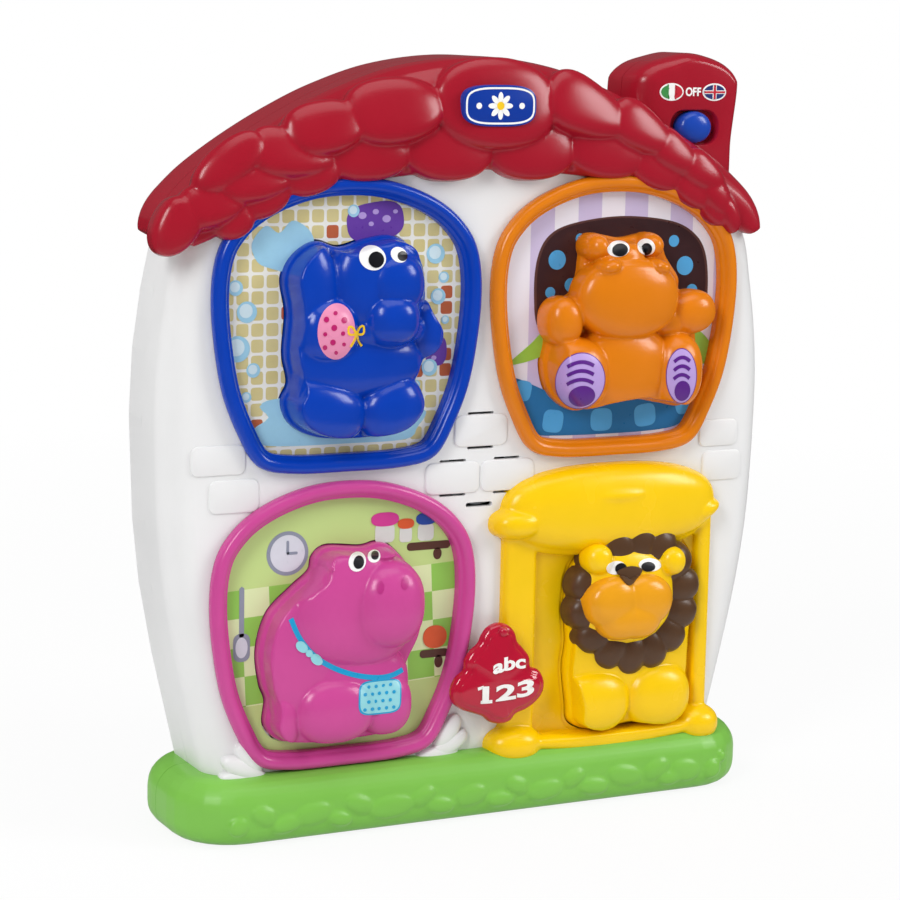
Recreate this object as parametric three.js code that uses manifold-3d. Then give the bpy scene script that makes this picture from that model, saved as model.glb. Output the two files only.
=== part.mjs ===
// A house-shaped shape sorter: four lift-out animals sit in three framed windows and a doorway.
// Millimetres. X runs to the right, Y from the front of the house to its back, and Z up.
// The origin is on the underside of the base, in the front plane of the white house shell.

import * as THREE from "three";
import { mergeVertices } from "three/addons/utils/BufferGeometryUtils.js";
import Module from "manifold-3d";

const wasm = await Module();
wasm.setup();

// Fits shared by the whole toy
const fit = 0.3;
const overrun = 5;
const facetTolerance = 0.12;
const wall = 2.6;
const thinWall = 1.6;

// The house: two columns and two rows of openings set its width and height
const windowWidth = 120.8;
const windowHeight = 122;
const columnGap = 5.6;
const rowGap = 4.2;
const sideMargin = 19.8;
const houseDepth = 50;
const seamDepth = 26;
const frontRounding = 13;
const backRounding = 8;
const ridgeRise = 49.4;
const houseSink = 16;

// The base
const baseHeight = 28;
const baseHalfLength = 137;
const baseFrontReach = 13;
const baseBackReach = 10;
const baseEndRadius = 28;
const baseEdge = 9;
const baseFloor = 3;

// The roof
const roofWall = 3.6;
const roofFace = 4;
const roofCrown = 17;
const eaveOverhang = 3.4;
const tileProud = 6.5;

// The chimney and its switch
const chimneyWidth = 52;
const chimneyDepth = 33;
const chimneySetback = 5;
const chimneyRise = 2.5;
const chimneyEdge = 5;
const knobLength = 16.4;
const knobHeight = 14;
const knobProud = 2.4;
const knobTravel = 3.5;
const switchPocketDepth = 5;
const switchStem = 4;
const switchCaseLength = 25;
const switchCaseHeight = 11;
const switchCaseDepth = 7;

// Window frames, picture cards and trays
const frameBand = 7.2;
const frameProud = 5.5;
const frameEdge = 2.6;
const collarLip = 2.4;
const openingLip = 3.2;
const cardThickness = 0.9;
const trayFlange = 6;
const pocketDepth = 10;
const pocketRim = 5;
const playFit = 0.6;

// Doorway
const doorWidth = 104.4;
const doorHeight = 112;
const doorProud = 4.4;
const doorEdge = 1.6;
const leftPost = 15.6;
const rightPost = 9.4;
const doorPanelDepth = 3;
const doorPanelWall = 2;
const thresholdHeight = 5;
const canopyHeight = 34;
const canopyProud = 13;
const brickProud = 0.8;
const brickWidth = 25;
const brickHeight = 14;
const leafSize = 13;
const footRadius = 11;

// The animals
const elephantWidth = 71.5;
const elephantHeight = 85;
const sittingHippoWidth = 82;
const sittingHippoHeight = 77;
const standingHippoWidth = 75;
const standingHippoHeight = 84;
const lionWidth = 64;
const lionHeight = 91;
const animalBackWall = 2;
const animalShell = 5;
const bulge = 17;
const maneBand = 9.5;
const maneScallop = 3;
const maneCurls = 13;

// Button, electronics and fasteners
const buttonWidth = 43;
const buttonHeight = 44;
const buttonThickness = 5;
const buttonTravel = 2;
const buttonShift = 1.8;
const buttonRise = 10;
const buttonStemRadius = 7;
const domeHeight = 4.6;
const boardStandoff = 2.4;
const boardOffset = 11.5;
const postRadius = 3;
const boardThickness = 1.6;
const boardWidth = 88;
const boardHeight = 56;
const lampRadius = 2.5;
const lampHeight = 7;
const sensorSize = 12;
const sensorDepth = 4;
const sensorNib = 1.5;
const speakerRadius = 17;
const speakerDepth = 12;
const magnetRadius = 9;
const magnetDepth = 6;
const slotLength = 12.8;
const slotHeight = 1;
const batteryRadius = 7.1;
const batteryLength = 50;
const batteryPitch = 16;
const contactThickness = 0.6;
const contactGap = 1.2;
const bossRadius = 4.5;
const screwRadius = 1.5;
const screwHeadRadius = 2.8;
const screwHeadHeight = 2;
const doorScrewRadius = 1.3;
const badgeWidth = 34;
const badgeHeight = 17;
const badgeThickness = 1.4;

// Shares that place one piece on another
const knobPlaceShare = 0.6;
const chimneyFootShare = 1.3;
const badgePlaceShare = 0.4;
const nibPlaceShare = 0.45;
const batteryPlaceShare = 0.2;
const bossPlaceShares = [[0, 0.81], [-0.9, 0.52], [0.9, 0.52], [0.02, 0.355], [-0.83, 0.125], [0.83, 0.125]];
const postPlaceShares = [[0.05, 0.42], [0.05, -0.42]];
const ribPlaceShares = [-0.6, -0.2, 0.2, 0.6];
const slotPlaceShares = [
  [0, 0.62], [0, 0.16], [-0.4, 0.02], [0.4, 0.02], [-0.4, -0.44], [0.4, -0.44], [0, -0.58],
];
const leafPlaceShare = 0.39;
const leafShares = [[-0.6, -0.05, 55], [-0.1, 0.35, 0], [0.5, -0.05, -55]];
const brickPlaceShares = [[0, 0.38], [-0.39, -0.2], [0.39, -0.2]];

const lionShiftShares = [0.085, 0.02];
const canopyOverShare = 0.54;
const canopyRiseShare = 0.6;
const canopyKnotShares = [0.4, 0.72, 0.62, 0.2, 0.7];
const footShares = [0.1, 0.62, 0.8];
const faceRiseShare = 0.14;
const maneHighShare = 0.35;
const maneProudShare = 0.7;
const faceProudShare = 0.9;
const faceShares = [0.36, 0.225];
const earShares = [[-0.25, 0.215, 0.1, 0.07], [0.34, 0.19, 0.1, 0.07]];
const muzzleDropShare = 0.035;
const muzzleShares = [0.86, 0.72];
const muzzleProudShare = 1.35;

// Places worked out from the sizes above
const houseHalfWidth = columnGap / 2 + windowWidth + sideMargin;
const lowerSill = baseHeight + fit;
const upperSill = lowerSill + windowHeight + rowGap;
const columnX = (columnGap + windowWidth) / 2;
const roofRidge = upperSill + windowHeight + ridgeRise;
const houseBottom = baseHeight - houseSink;
const houseTop = roofRidge - roofWall;
const houseHeight = houseTop - houseBottom;
const roofHalfWidth = houseHalfWidth - eaveOverhang + roofWall / 2;
const collarDepth = wall - cardThickness;
const cardFront = collarDepth + fit;
const cardBack = cardFront + cardThickness;
const trayFront = cardBack + fit;
const pocketFloor = trayFront + pocketDepth;
const trayBack = pocketFloor + thinWall;
const animalBack = pocketFloor - fit;
const boardFront = trayBack + boardStandoff;
const boardX = columnX - doorWidth / 2 - boardOffset;

// Outlines as shares of a half width or width and of a height, from the bottom up
const windowShares = [
  [0, 0], [0.42, 0.004], [0.66, 0.035], [0.8, 0.14], [0.93, 0.31],
  [1, 0.56], [0.97, 0.74], [0.84, 0.85], [0.62, 0.93], [0.31, 0.985], [0, 1],
];
const houseSideShares = [
  [0.83, 0], [0.865, 0.07], [0.93, 0.2], [0.97, 0.3], [0.99, 0.39], [1, 0.53],
  [0.99, 0.62], [0.965, 0.7], [0.935, 0.765], [0.85, 0.84],
  [0.7, 0.9], [0.5, 0.95], [0.25, 0.988], [0, 1],
];
const roofArchShares = [
  [0.97, 0], [1, 0.12], [0.965, 0.24], [0.87, 0.4], [0.75, 0.53], [0.62, 0.69],
  [0.5, 0.8], [0.36, 0.89], [0.18, 0.975], [0, 1],
];
const roofEaveShares = [[0.88, 0.13], [0.8, 0.2], [0.68, 0.3], [0.52, 0.42], [0.28, 0.45], [0, 0.45]];
const chimneyShares = [
  [0, 0.52], [0.9, 0], [0.955, 0.45], [1, 0.76], [0.98, 0.85], [0.87, 0.93], [0.7, 0.98],
  [0.52, 1], [0.34, 0.975], [0.15, 0.93], [0.03, 0.86], [0, 0.78],
];
const elephantShares = [
  [0.24, 0.01], [0.55, 0], [0.75, 0.04], [0.865, 0.155], [0.84, 0.27], [0.855, 0.36], [0.945, 0.415],
  [1, 0.51], [0.91, 0.63], [0.89, 0.76], [0.8, 0.93], [0.68, 0.99], [0.53, 0.98], [0.35, 0.94],
  [0.2, 0.97], [0.06, 0.9], [0, 0.79], [0.03, 0.63], [0.015, 0.43], [0.045, 0.29], [0, 0.195], [0.06, 0.08],
];
const sittingHippoShares = [
  [0.2, 0], [0.37, 0.03], [0.56, 0.05], [0.72, 0.02], [0.87, 0], [0.97, 0.13], [0.95, 0.33],
  [0.93, 0.42], [1, 0.52], [0.96, 0.6], [0.83, 0.65], [0.82, 0.74], [0.74, 0.86], [0.7, 0.96],
  [0.6, 0.99], [0.46, 0.97], [0.3, 0.99], [0.23, 0.9], [0.21, 0.76], [0.17, 0.66], [0.07, 0.62],
  [0.01, 0.5], [0.03, 0.4], [0.01, 0.26], [0.06, 0.1],
];
const standingHippoShares = [
  [0.25, 0.01], [0.5, 0], [0.76, 0.01], [0.92, 0.06], [0.93, 0.17], [0.9, 0.34], [0.98, 0.5], [1, 0.63],
  [0.94, 0.83], [0.81, 0.97], [0.72, 1], [0.62, 0.985], [0.41, 1], [0.33, 0.95], [0.31, 0.88],
  [0.2, 0.8], [0.06, 0.68], [0, 0.5], [0.02, 0.33], [0.055, 0.24], [0.045, 0.12], [0.11, 0.04],
];
const lionShares = [
  [0.25, 0], [0.5, 0.02], [0.75, 0], [0.95, 0.04], [0.98, 0.16], [0.97, 0.3], [0.99, 0.45], [1, 0.63],
  [0.98, 0.8], [0.84, 0.93], [0.6, 1], [0.4, 0.99], [0.2, 0.93], [0.04, 0.82], [0, 0.64], [0.02, 0.46],
  [0, 0.33], [0.03, 0.16], [0.06, 0.05],
];
const buttonShares = [
  [0.5, 0], [0.68, 0.05], [0.93, 0.18], [1, 0.32], [0.94, 0.46], [0.8, 0.55], [0.7, 0.72], [0.58, 0.93],
  [0.47, 1], [0.36, 0.96], [0.24, 0.78], [0.17, 0.58], [0.05, 0.47], [0, 0.32], [0.08, 0.17], [0.3, 0.06],
];

// Solids from three.js geometries and back
function solidOf(geometry) {
  const bare = geometry.clone();
  bare.deleteAttribute("normal");
  bare.deleteAttribute("uv");
  const merged = mergeVertices(bare);
  return new wasm.Manifold(new wasm.Mesh({
    numProp: 3,
    vertProperties: new Float32Array(merged.attributes.position.array),
    triVerts: new Uint32Array(merged.index.array),
  }));
}

function geometryOf(solid) {
  const mesh = solid.getMesh();
  const geometry = new THREE.BufferGeometry();
  geometry.setAttribute("position", new THREE.BufferAttribute(mesh.vertProperties, mesh.numProp));
  geometry.setIndex(new THREE.BufferAttribute(mesh.triVerts, 1));
  geometry.computeVertexNormals();
  return geometry;
}

// An outline is a ring of Vector2 points, X across and Y up the house, anticlockwise
function ring(points, steps = 2) {
  const path = new THREE.SplineCurve([...points, points[0], points[1]]);
  const count = points.length;
  const all = path.getPoints((count + 1) * steps);
  return all.slice(0, count * steps);
}

function mirrored(halfShares) {
  const left = halfShares.filter(([x]) => x > 0).map(([x, z]) => [-x, z]);
  return [...halfShares, ...left.reverse()];
}

function placedRing(shares, x, z, width, height, steps) {
  return ring(shares.map(([u, v]) => new THREE.Vector2(x + u * width, z + v * height)), steps);
}

function windowRing(x, z, grow = 0, steps = 1) {
  return offset(placedRing(mirrored(windowShares), x, z, windowWidth / 2, windowHeight, steps), grow);
}

function offset(points, distance) {
  if (distance === 0) {
    return points;
  }
  return points.map((point, index) => {
    const before = points[(index + points.length - 1) % points.length];
    const after = points[(index + 1) % points.length];
    const inward = point.clone().sub(before).normalize();
    const outward = after.clone().sub(point).normalize();
    const normal = new THREE.Vector2(inward.y + outward.y, -inward.x - outward.x).normalize();
    const stretch = Math.max(normal.dot(new THREE.Vector2(inward.y, -inward.x)), 0.5);
    return point.clone().addScaledVector(normal, distance / stretch);
  });
}

// The main body of a cut solid, without the offcuts that a cut leaves beside it
function mainBody(solid) {
  return solid.decompose().sort((a, b) => b.volume() - a.volume())[0];
}

function halfSpace(front, back) {
  const reach = 4 * houseHeight;
  return boxed(0, (front + back) / 2, 0, reach, back - front, reach);
}

function boxed(x, y, z, width, depth, height) {
  const geometry = new THREE.BoxGeometry(width, depth, height);
  geometry.translate(x, y, z);
  return solidOf(geometry);
}

// A slab of an outline between two depths. A rounded edge draws it in towards the front, and a
// negative one flares it out, for a hole with a rounded rim. A back edge does the same behind.
function slab(outline, front, back, edge = 0, steps = 2, backEdge = 0) {
  const box = new THREE.Box2().setFromPoints(outline);
  const centre = box.getCenter(new THREE.Vector2());
  const half = box.getSize(new THREE.Vector2()).multiplyScalar(1 / 2);
  const levels = [];
  for (let step = 0; backEdge && step < steps; step += 1) {
    const angle = (step / steps) * (Math.PI / 2);
    levels.push({ y: back - backEdge * (1 - Math.cos(angle)), inset: backEdge * (1 - Math.sin(angle)) });
  }
  levels.push({ y: back - backEdge, inset: 0 });
  for (let step = 0; edge && step <= steps; step += 1) {
    const angle = (step / steps) * (Math.PI / 2);
    levels.push({ y: front + Math.abs(edge) * (1 - Math.sin(angle)), inset: edge * (1 - Math.cos(angle)) });
  }
  if (edge <= 0) {
    levels.push({ y: front - (edge < 0 ? overrun : 0), inset: edge });
  }
  const geometry = new THREE.ExtrudeGeometry(new THREE.Shape(outline), {
    depth: levels.length - 1,
    steps: levels.length - 1,
    bevelEnabled: false,
    curveSegments: 1,
  });
  const position = geometry.attributes.position;
  for (let index = 0; index < position.count; index += 1) {
    const { y, inset } = levels[Math.round(position.getZ(index))];
    position.setXYZ(
      index,
      centre.x + ((position.getX(index) - centre.x) * (half.x - inset)) / half.x,
      centre.y + ((position.getY(index) - centre.y) * (half.y - inset)) / half.y,
      -y,
    );
  }
  geometry.rotateX(Math.PI / 2);
  return solidOf(geometry);
}

// A swollen lobe: an ellipsoid that stands on a depth and reaches forward of it
function lobe(x, z, halfWidth, halfHeight, root, front, tilt = 0, around = 10, down = 6) {
  const geometry = new THREE.SphereGeometry(1, around, down);
  geometry.scale(halfWidth, root - front, halfHeight);
  geometry.rotateY(THREE.MathUtils.degToRad(-tilt));
  geometry.translate(x, root, z);
  return solidOf(geometry);
}

function rod(x, z, radius, front, back, sides = 14) {
  const geometry = new THREE.CylinderGeometry(radius, radius, back - front, sides);
  geometry.translate(x, (front + back) / 2, z);
  return solidOf(geometry);
}

function joined(first, ...rest) {
  return rest.reduce((sum, piece) => sum.add(piece), first);
}

function roundedBlock(x, z, width, height, corner) {
  const shape = new THREE.Shape();
  const [left, right] = [x - width / 2, x + width / 2];
  const [bottom, top] = [z - height / 2, z + height / 2];
  shape.moveTo(left + corner, bottom);
  shape.lineTo(right - corner, bottom);
  shape.absarc(right - corner, bottom + corner, corner, -Math.PI / 2, 0, false);
  shape.absarc(right - corner, top - corner, corner, 0, Math.PI / 2, false);
  shape.absarc(left + corner, top - corner, corner, Math.PI / 2, Math.PI, false);
  shape.absarc(left + corner, bottom + corner, corner, Math.PI, 1.5 * Math.PI, false);
  const points = shape.getPoints(2);
  return points.filter((point, index) => index === 0 || point.distanceTo(points[index - 1]) > fit / 10)
    .filter((point, index, all) => index < all.length - 1 || point.distanceTo(all[0]) > fit / 10);
}

const group = new THREE.Group();
const finishes = {
  white: { color: 0xececea, roughness: 0.3, metalness: 0 },
  red: { color: 0xa81e2e, roughness: 0.25, metalness: 0 },
  blue: { color: 0x0b3fbe, roughness: 0.22, metalness: 0 },
  orange: { color: 0xe8890c, roughness: 0.25, metalness: 0 },
  pink: { color: 0xd84fa2, roughness: 0.25, metalness: 0 },
  yellow: { color: 0xf5d000, roughness: 0.25, metalness: 0 },
  green: { color: 0x78be45, roughness: 0.35, metalness: 0 },
  brown: { color: 0x5a3f28, roughness: 0.3, metalness: 0 },
  ruby: { color: 0xc01838, roughness: 0.15, metalness: 0 },
  card: { color: 0xd9d6b0, roughness: 0.45, metalness: 0 },
  steel: { color: 0xb8bcc0, roughness: 0.3, metalness: 1 },
  rubber: { color: 0xd8d8d4, roughness: 0.7, metalness: 0 },
  board: { color: 0x2e6b3a, roughness: 0.5, metalness: 0 },
  black: { color: 0x202224, roughness: 0.5, metalness: 0 },
  cell: { color: 0x3a4a5c, roughness: 0.35, metalness: 0.2 },
};

function add(name, solid, finish) {
  const geometry = geometryOf(solid.simplify(facetTolerance));
  const mesh = new THREE.Mesh(geometry, new THREE.MeshStandardMaterial(finishes[finish]));
  mesh.name = name;
  group.add(mesh);
}

// Outlines of the house and roof
function halfOutline(shares, halfWidth, bottom, height) {
  return shares.map(([u, v]) => new THREE.Vector2(u * halfWidth, bottom + v * height));
}

function houseRing(grow) {
  const right = halfOutline(houseSideShares, houseHalfWidth, houseBottom, houseHeight);
  const left = right.slice(0, -1).reverse().map((point) => new THREE.Vector2(-point.x, point.y));
  return offset([...right, ...left], grow);
}

const roofDrop = roofRidge - upperSill - windowHeight + windowHeight / 4;
const roofFoot = roofRidge - roofDrop;

function roofArch(grow) {
  const right = halfOutline(roofArchShares, roofHalfWidth, roofFoot, roofDrop);
  const left = right.slice(0, -1).reverse().map((point) => new THREE.Vector2(-point.x, point.y));
  const low = roofFoot - windowHeight;
  const feet = [right[0].x, -right[0].x].map((x) => new THREE.Vector2(x, low));
  return offset([feet[0], ...right, ...left, feet[1]], grow);
}

function roofBand() {
  const eave = halfOutline(roofEaveShares, roofHalfWidth, roofFoot, roofDrop);
  const tip = new THREE.Vector2(roofArchShares[0][0] * roofHalfWidth, roofFoot);
  const high = roofRidge + overrun;
  const outer = new THREE.Vector2(roofHalfWidth + overrun, roofFoot);
  const right = [...eave.reverse(), tip, outer, new THREE.Vector2(roofHalfWidth + overrun, high)];
  const left = right.slice(1).reverse().map((point) => new THREE.Vector2(-point.x, point.y));
  return [...right, ...left];
}

// The chimney's outline, and the notch that the roof and the house leave for it
const chimneyRight = columnX + windowWidth / 2 + sideMargin / 4;
const chimneyLeft = chimneyRight - chimneyWidth;
const chimneyTop = roofRidge + chimneyRise;
const chimneyFoot = roofRidge - chimneyFootShare * ridgeRise;
const chimneyBack = chimneySetback + chimneyDepth;
const chimneyRing = (grow) => offset(placedRing(chimneyShares, chimneyLeft, chimneyFoot, chimneyWidth,
  chimneyTop - chimneyFoot, 1), grow);
const chimneyNotch = slab(chimneyRing(fit), -2 * houseDepth, chimneyBack + fit);

// Windows: frame, picture card and tray, each round its own animal
const windows = [
  {
    name: "blue", x: -columnX, z: upperSill, animal: "elephant", shares: elephantShares,
    placeShares: [0.055, 0.46], width: elephantWidth, height: elephantHeight,
  },
  {
    name: "orange", x: columnX, z: upperSill, animal: "sitting_hippo", shares: sittingHippoShares,
    placeShares: [0.045, 0.48], width: sittingHippoWidth, height: sittingHippoHeight,
  },
  {
    name: "pink", x: -columnX, z: lowerSill, animal: "standing_hippo", shares: standingHippoShares,
    placeShares: [-0.01, 0.43], width: standingHippoWidth, height: standingHippoHeight,
  },
];
for (const opening of windows) {
  const [across, up] = opening.placeShares;
  opening.place = { x: opening.x + across * windowWidth, z: opening.z + up * windowHeight };
}

function animalRing({ shares, place, width, height }, grow = 0) {
  const [wide, high] = [width + 2 * grow, height + 2 * grow];
  return placedRing(shares, place.x - wide / 2, place.z - high / 2, wide, high, 1);
}

const frameInset = -frameBand;
const buttonPlace = { x: columnX - doorWidth / 2 - buttonShift, z: lowerSill + buttonHeight / 2 + buttonRise };
const buttonRing = (grow) => placedRing(buttonShares, buttonPlace.x - buttonWidth / 2 - grow,
  buttonPlace.z - buttonHeight / 2 - grow, buttonWidth + 2 * grow, buttonHeight + 2 * grow, 1);
const stemHole = rod(buttonPlace.x, buttonPlace.z, buttonStemRadius + playFit, -frameProud - overrun, seamDepth);
const nibHole = (x, z) => rod(x, z, sensorNib + fit, pocketFloor - overrun, trayBack + overrun, 8);

for (const opening of windows) {
  const { name, x, z, place } = opening;
  const bezel = slab(windowRing(x, z, 0, 2), -frameProud, -fit, frameEdge, 1);
  const collar = slab(windowRing(x, z, frameInset + collarLip), -frameProud / 2, collarDepth);
  const sight = slab(windowRing(x, z, frameInset, 2), -frameProud, wall + overrun, -frameEdge, 1);
  add(`${name}_window_frame`, bezel.add(collar).subtract(sight), name);

  const pocket = slab(offset(animalRing(opening), playFit), cardFront - overrun, pocketFloor);
  const card = slab(windowRing(x, z, frameInset + collarLip), cardFront, cardBack).subtract(pocket);
  add(`${name}_picture_card`, card, "card");

  const flange = slab(windowRing(x, z, frameInset + trayFlange), trayFront, trayFront + thinWall);
  const cup = slab(animalRing(opening, pocketRim), trayFront, trayBack);
  add(`${name}_piece_tray`, flange.add(cup).subtract(pocket)
    .subtract(nibHole(place.x, z + nibPlaceShare * windowHeight)), "white");
}

// Doorway: posts, panel, awning, feet and the lion's pocket in one yellow moulding
const doorLeft = columnX - doorWidth / 2;
const doorRight = columnX + doorWidth / 2;
const doorTop = lowerSill + doorHeight;
const lionPlace = {
  x: (doorLeft + leftPost + doorRight - rightPost) / 2 + lionShiftShares[0] * doorWidth,
  z: lowerSill + lionHeight / 2 + lionShiftShares[1] * doorHeight,
};
const lion = { shares: lionShares, place: lionPlace, width: lionWidth, height: lionHeight };
const lionRing = (grow) => animalRing(lion, grow);
const panelLeft = doorLeft + leftPost;
const panelRight = doorRight - rightPost;
const panelMiddle = (panelLeft + panelRight) / 2;
const panelTop = doorTop - canopyHeight / 2;

function blockBetween(left, right, bottom, top, front, back) {
  return boxed((left + right) / 2, (front + back) / 2, (bottom + top) / 2,
    right - left, back - front, top - bottom);
}

const doorBottom = lowerSill;
const doorPlate = slab(roundedBlock(columnX, (doorBottom + doorTop) / 2, doorWidth,
  doorTop - doorBottom, doorEdge * 2), -doorProud, -fit, doorEdge, 2);
const doorCollar = blockBetween(panelLeft - doorPanelWall, panelRight + doorPanelWall,
  doorBottom + fit, panelTop + doorPanelWall, -fit - doorEdge, doorPanelDepth + doorPanelWall);
const doorRecess = blockBetween(panelLeft, panelRight, doorBottom + thresholdHeight, panelTop,
  -canopyProud - overrun, doorPanelDepth);
const canopyZ = doorTop - canopyHeight / 4;
const canopyHalfWidth = canopyOverShare * doorWidth;
const canopyHalfHeight = canopyRiseShare * canopyHeight;
const postPlaces = [doorLeft + leftPost / 2, doorRight - rightPost / 2];
const canopyFront = joined(
  lobe(columnX, canopyZ, canopyHalfWidth, canopyHalfHeight, -fit, -canopyProud, 0, 16, 6),
  ...postPlaces.map((x, index) => lobe(x, doorTop - canopyKnotShares[0] * canopyHeight,
    canopyKnotShares[1 + index] * leftPost, canopyKnotShares[3] * canopyHeight, -fit,
    -canopyKnotShares[4] * canopyProud)),
).intersect(halfSpace(-canopyProud - overrun, -fit));
const footLobes = (grow) => joined(...postPlaces.map((x) => lobe(x, doorBottom + footShares[0] * footRadius,
  footRadius + grow, footShares[1] * footRadius + grow, -fit, -footShares[2] * canopyProud - grow)));
const feet = footLobes(0).intersect(halfSpace(-canopyProud - overrun, -fit));
const threshold = slab(roundedBlock(panelMiddle, doorBottom + thresholdHeight / 2, panelRight - panelLeft,
  thresholdHeight, doorEdge), -doorProud * 2, -fit, doorEdge / 2, 2);
const lionCup = slab(lionRing(pocketRim), doorPanelDepth, trayBack);
const lionPocket = slab(offset(lionRing(0), playFit), -2 * canopyProud, pocketFloor);
const lionFaceX = lionPlace.x;
const faceZ = lionPlace.z + faceRiseShare * lionHeight;
const maneHalf = { x: lionWidth / 2, z: maneHighShare * lionHeight };
const maneClear = (grow, front, depth) => slab(new THREE.EllipseCurve(lionFaceX, faceZ, maneHalf.x + grow,
  maneHalf.z + grow).getPoints(24).slice(0, -1), front, depth);
const buttonWell = slab(buttonRing(playFit), -canopyProud - overrun, -doorProud - fit);
const door = joined(doorPlate, doorCollar)
  .subtract(doorRecess)
  .add(canopyFront)
  .add(threshold)
  .add(feet)
  .add(lionCup)
  .subtract(lionPocket)
  .subtract(maneClear(playFit, -2 * canopyProud, doorPanelDepth))
  .subtract(nibHole(lionPlace.x, lionPlace.z))
  .subtract(stemHole)
  .subtract(buttonWell);
add("door_surround", door, "yellow");

// House shell, front and back
const openings = windows.map(({ x, z }) => slab(windowRing(x, z, frameInset + openingLip), -overrun,
  wall + overrun));
const doorOpening = blockBetween(panelLeft - doorPanelWall - fit, panelRight + doorPanelWall + fit,
  doorBottom, panelTop + doorPanelWall + fit, -overrun, wall + overrun);
const speakerZ = upperSill - rowGap / 2;
const slots = slotPlaceShares.map(([u, v]) => boxed(2 * u * speakerRadius, wall / 2,
  speakerZ + 2 * v * speakerRadius, slotLength, wall + overrun, slotHeight));
const innerEdge = frontRounding - wall;
const frontOuter = slab(houseRing(0), 0, seamDepth, frontRounding, 3);
const frontInner = slab(houseRing(-wall), wall, seamDepth + overrun, innerEdge, 1);
const placesOf = (shares, x, z, width, height) => shares.map(([u, v]) => ({ x: x + u * width, z: z + v * height }));
const bosses = placesOf(bossPlaceShares, 0, houseBottom, houseHalfWidth, houseHeight);
const posts = placesOf(postPlaceShares, boardX, buttonPlace.z, boardWidth, boardHeight);
const bricks = brickPlaceShares.map(([u, v]) => slab(roundedBlock(2 * u * speakerRadius,
  speakerZ + 2 * v * speakerRadius, brickWidth, brickHeight, wall), -brickProud, wall / 2));
const leaves = [-1, 1].flatMap((side) => leafShares.map(([u, v, tilt]) => lobe(
  -columnX + side * leafPlaceShare * windowWidth + u * leafSize, lowerSill + leafSize / 2 + v * leafSize,
  leafSize / 3, leafSize / 2, wall / 2, -leafSize / 3, tilt, 8, 4)));
const leafRelief = joined(...leaves).intersect(halfSpace(-houseDepth, wall / 2))
  .intersect(boxed(0, 0, lowerSill + houseHeight / 2, 4 * houseHalfWidth, houseDepth, houseHeight));
const bezelSeats = windows.map(({ x, z }) => slab(windowRing(x, z, fit, 2), -houseDepth, 0));
const doorSeat = slab(new THREE.EllipseCurve(columnX, canopyZ, canopyHalfWidth + fit, canopyHalfHeight + fit)
  .getPoints(20).slice(0, -1), -overrun, 0);
let front = joined(frontOuter, joined(leafRelief, ...bricks).subtract(joined(...bezelSeats, doorSeat)));
front = front.subtract(frontInner);
for (const { x, z } of bosses) {
  front = front.add(rod(x, z, bossRadius, wall / 2, seamDepth, 8));
}
for (const { x, z } of posts) {
  front = front.add(rod(x, z, postRadius, wall / 2, boardFront - fit, 8));
  front = front.subtract(rod(x, z, screwRadius + fit, wall + bossRadius, boardFront, 8));
}
for (const { x, z } of bosses) {
  front = front.subtract(rod(x, z, screwRadius + fit, wall + bossRadius, seamDepth + overrun, 8));
}
for (const cut of [...openings, doorOpening, ...slots, stemHole, chimneyNotch]) {
  front = front.subtract(cut);
}
add("front_housing", front, "white");

const backFront = seamDepth + fit;
const backOuter = slab(houseRing(0), backFront, houseDepth, 0, 2, backRounding);
const backInner = slab(houseRing(-wall), backFront - overrun, houseDepth - wall, 0, 1, backRounding - wall);
const batteryZ = houseBottom + batteryPlaceShare * houseHeight;
const trayInnerWidth = batteryLength + 2 * (contactThickness + contactGap) + 2 * fit;
const trayInnerHeight = 3 * batteryPitch;
const batteryY = houseDepth - wall - fit - batteryRadius - 2 * fit;
const doorPlateWidth = trayInnerWidth + 4 * wall;
const doorPlateHeight = trayInnerHeight + 5 * wall;
let back = backOuter.subtract(backInner);
for (const { x, z } of bosses) {
  back = back.add(rod(x, z, bossRadius, backFront, houseDepth - wall / 2, 8));
}
for (const { x, z } of bosses) {
  back = back.subtract(rod(x, z, screwRadius + fit, backFront - overrun, houseDepth + overrun, 8));
  back = back.subtract(rod(x, z, screwHeadRadius + fit, houseDepth - 2 * screwHeadHeight, houseDepth + overrun,
    10));
}
const batteryOpening = slab(roundedBlock(0, batteryZ, doorPlateWidth + 2 * fit, doorPlateHeight + 2 * fit, wall),
  houseDepth - wall - overrun, houseDepth + overrun);
add("back_housing", back.subtract(batteryOpening).subtract(chimneyNotch), "white");

// Battery tray, cells, contacts and cover
const trayWallY = batteryY - batteryRadius - 2 * fit;
const trayOuter = blockBetween(-doorPlateWidth / 2, doorPlateWidth / 2, batteryZ - doorPlateHeight / 2,
  batteryZ + doorPlateHeight / 2, trayWallY - thinWall, houseDepth - wall - fit);
const trayInner = blockBetween(-trayInnerWidth / 2, trayInnerWidth / 2, batteryZ - trayInnerHeight / 2,
  batteryZ + trayInnerHeight / 2, trayWallY, houseDepth);
const doorScrewZ = batteryZ + trayInnerHeight / 2 + (doorPlateHeight - trayInnerHeight) / 4;
const doorScrewHole = rod(0, doorScrewZ, doorScrewRadius + fit, batteryY, houseDepth + overrun, 10);
add("battery_tray", trayOuter.subtract(trayInner).subtract(doorScrewHole), "white");
for (const [index, row] of [-1, 0, 1].entries()) {
  const geometry = new THREE.CylinderGeometry(batteryRadius, batteryRadius, batteryLength, 14);
  geometry.rotateZ(Math.PI / 2);
  geometry.translate(0, batteryY, batteryZ + row * batteryPitch);
  add(`battery_${index + 1}`, solidOf(geometry), "cell");
}
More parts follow.
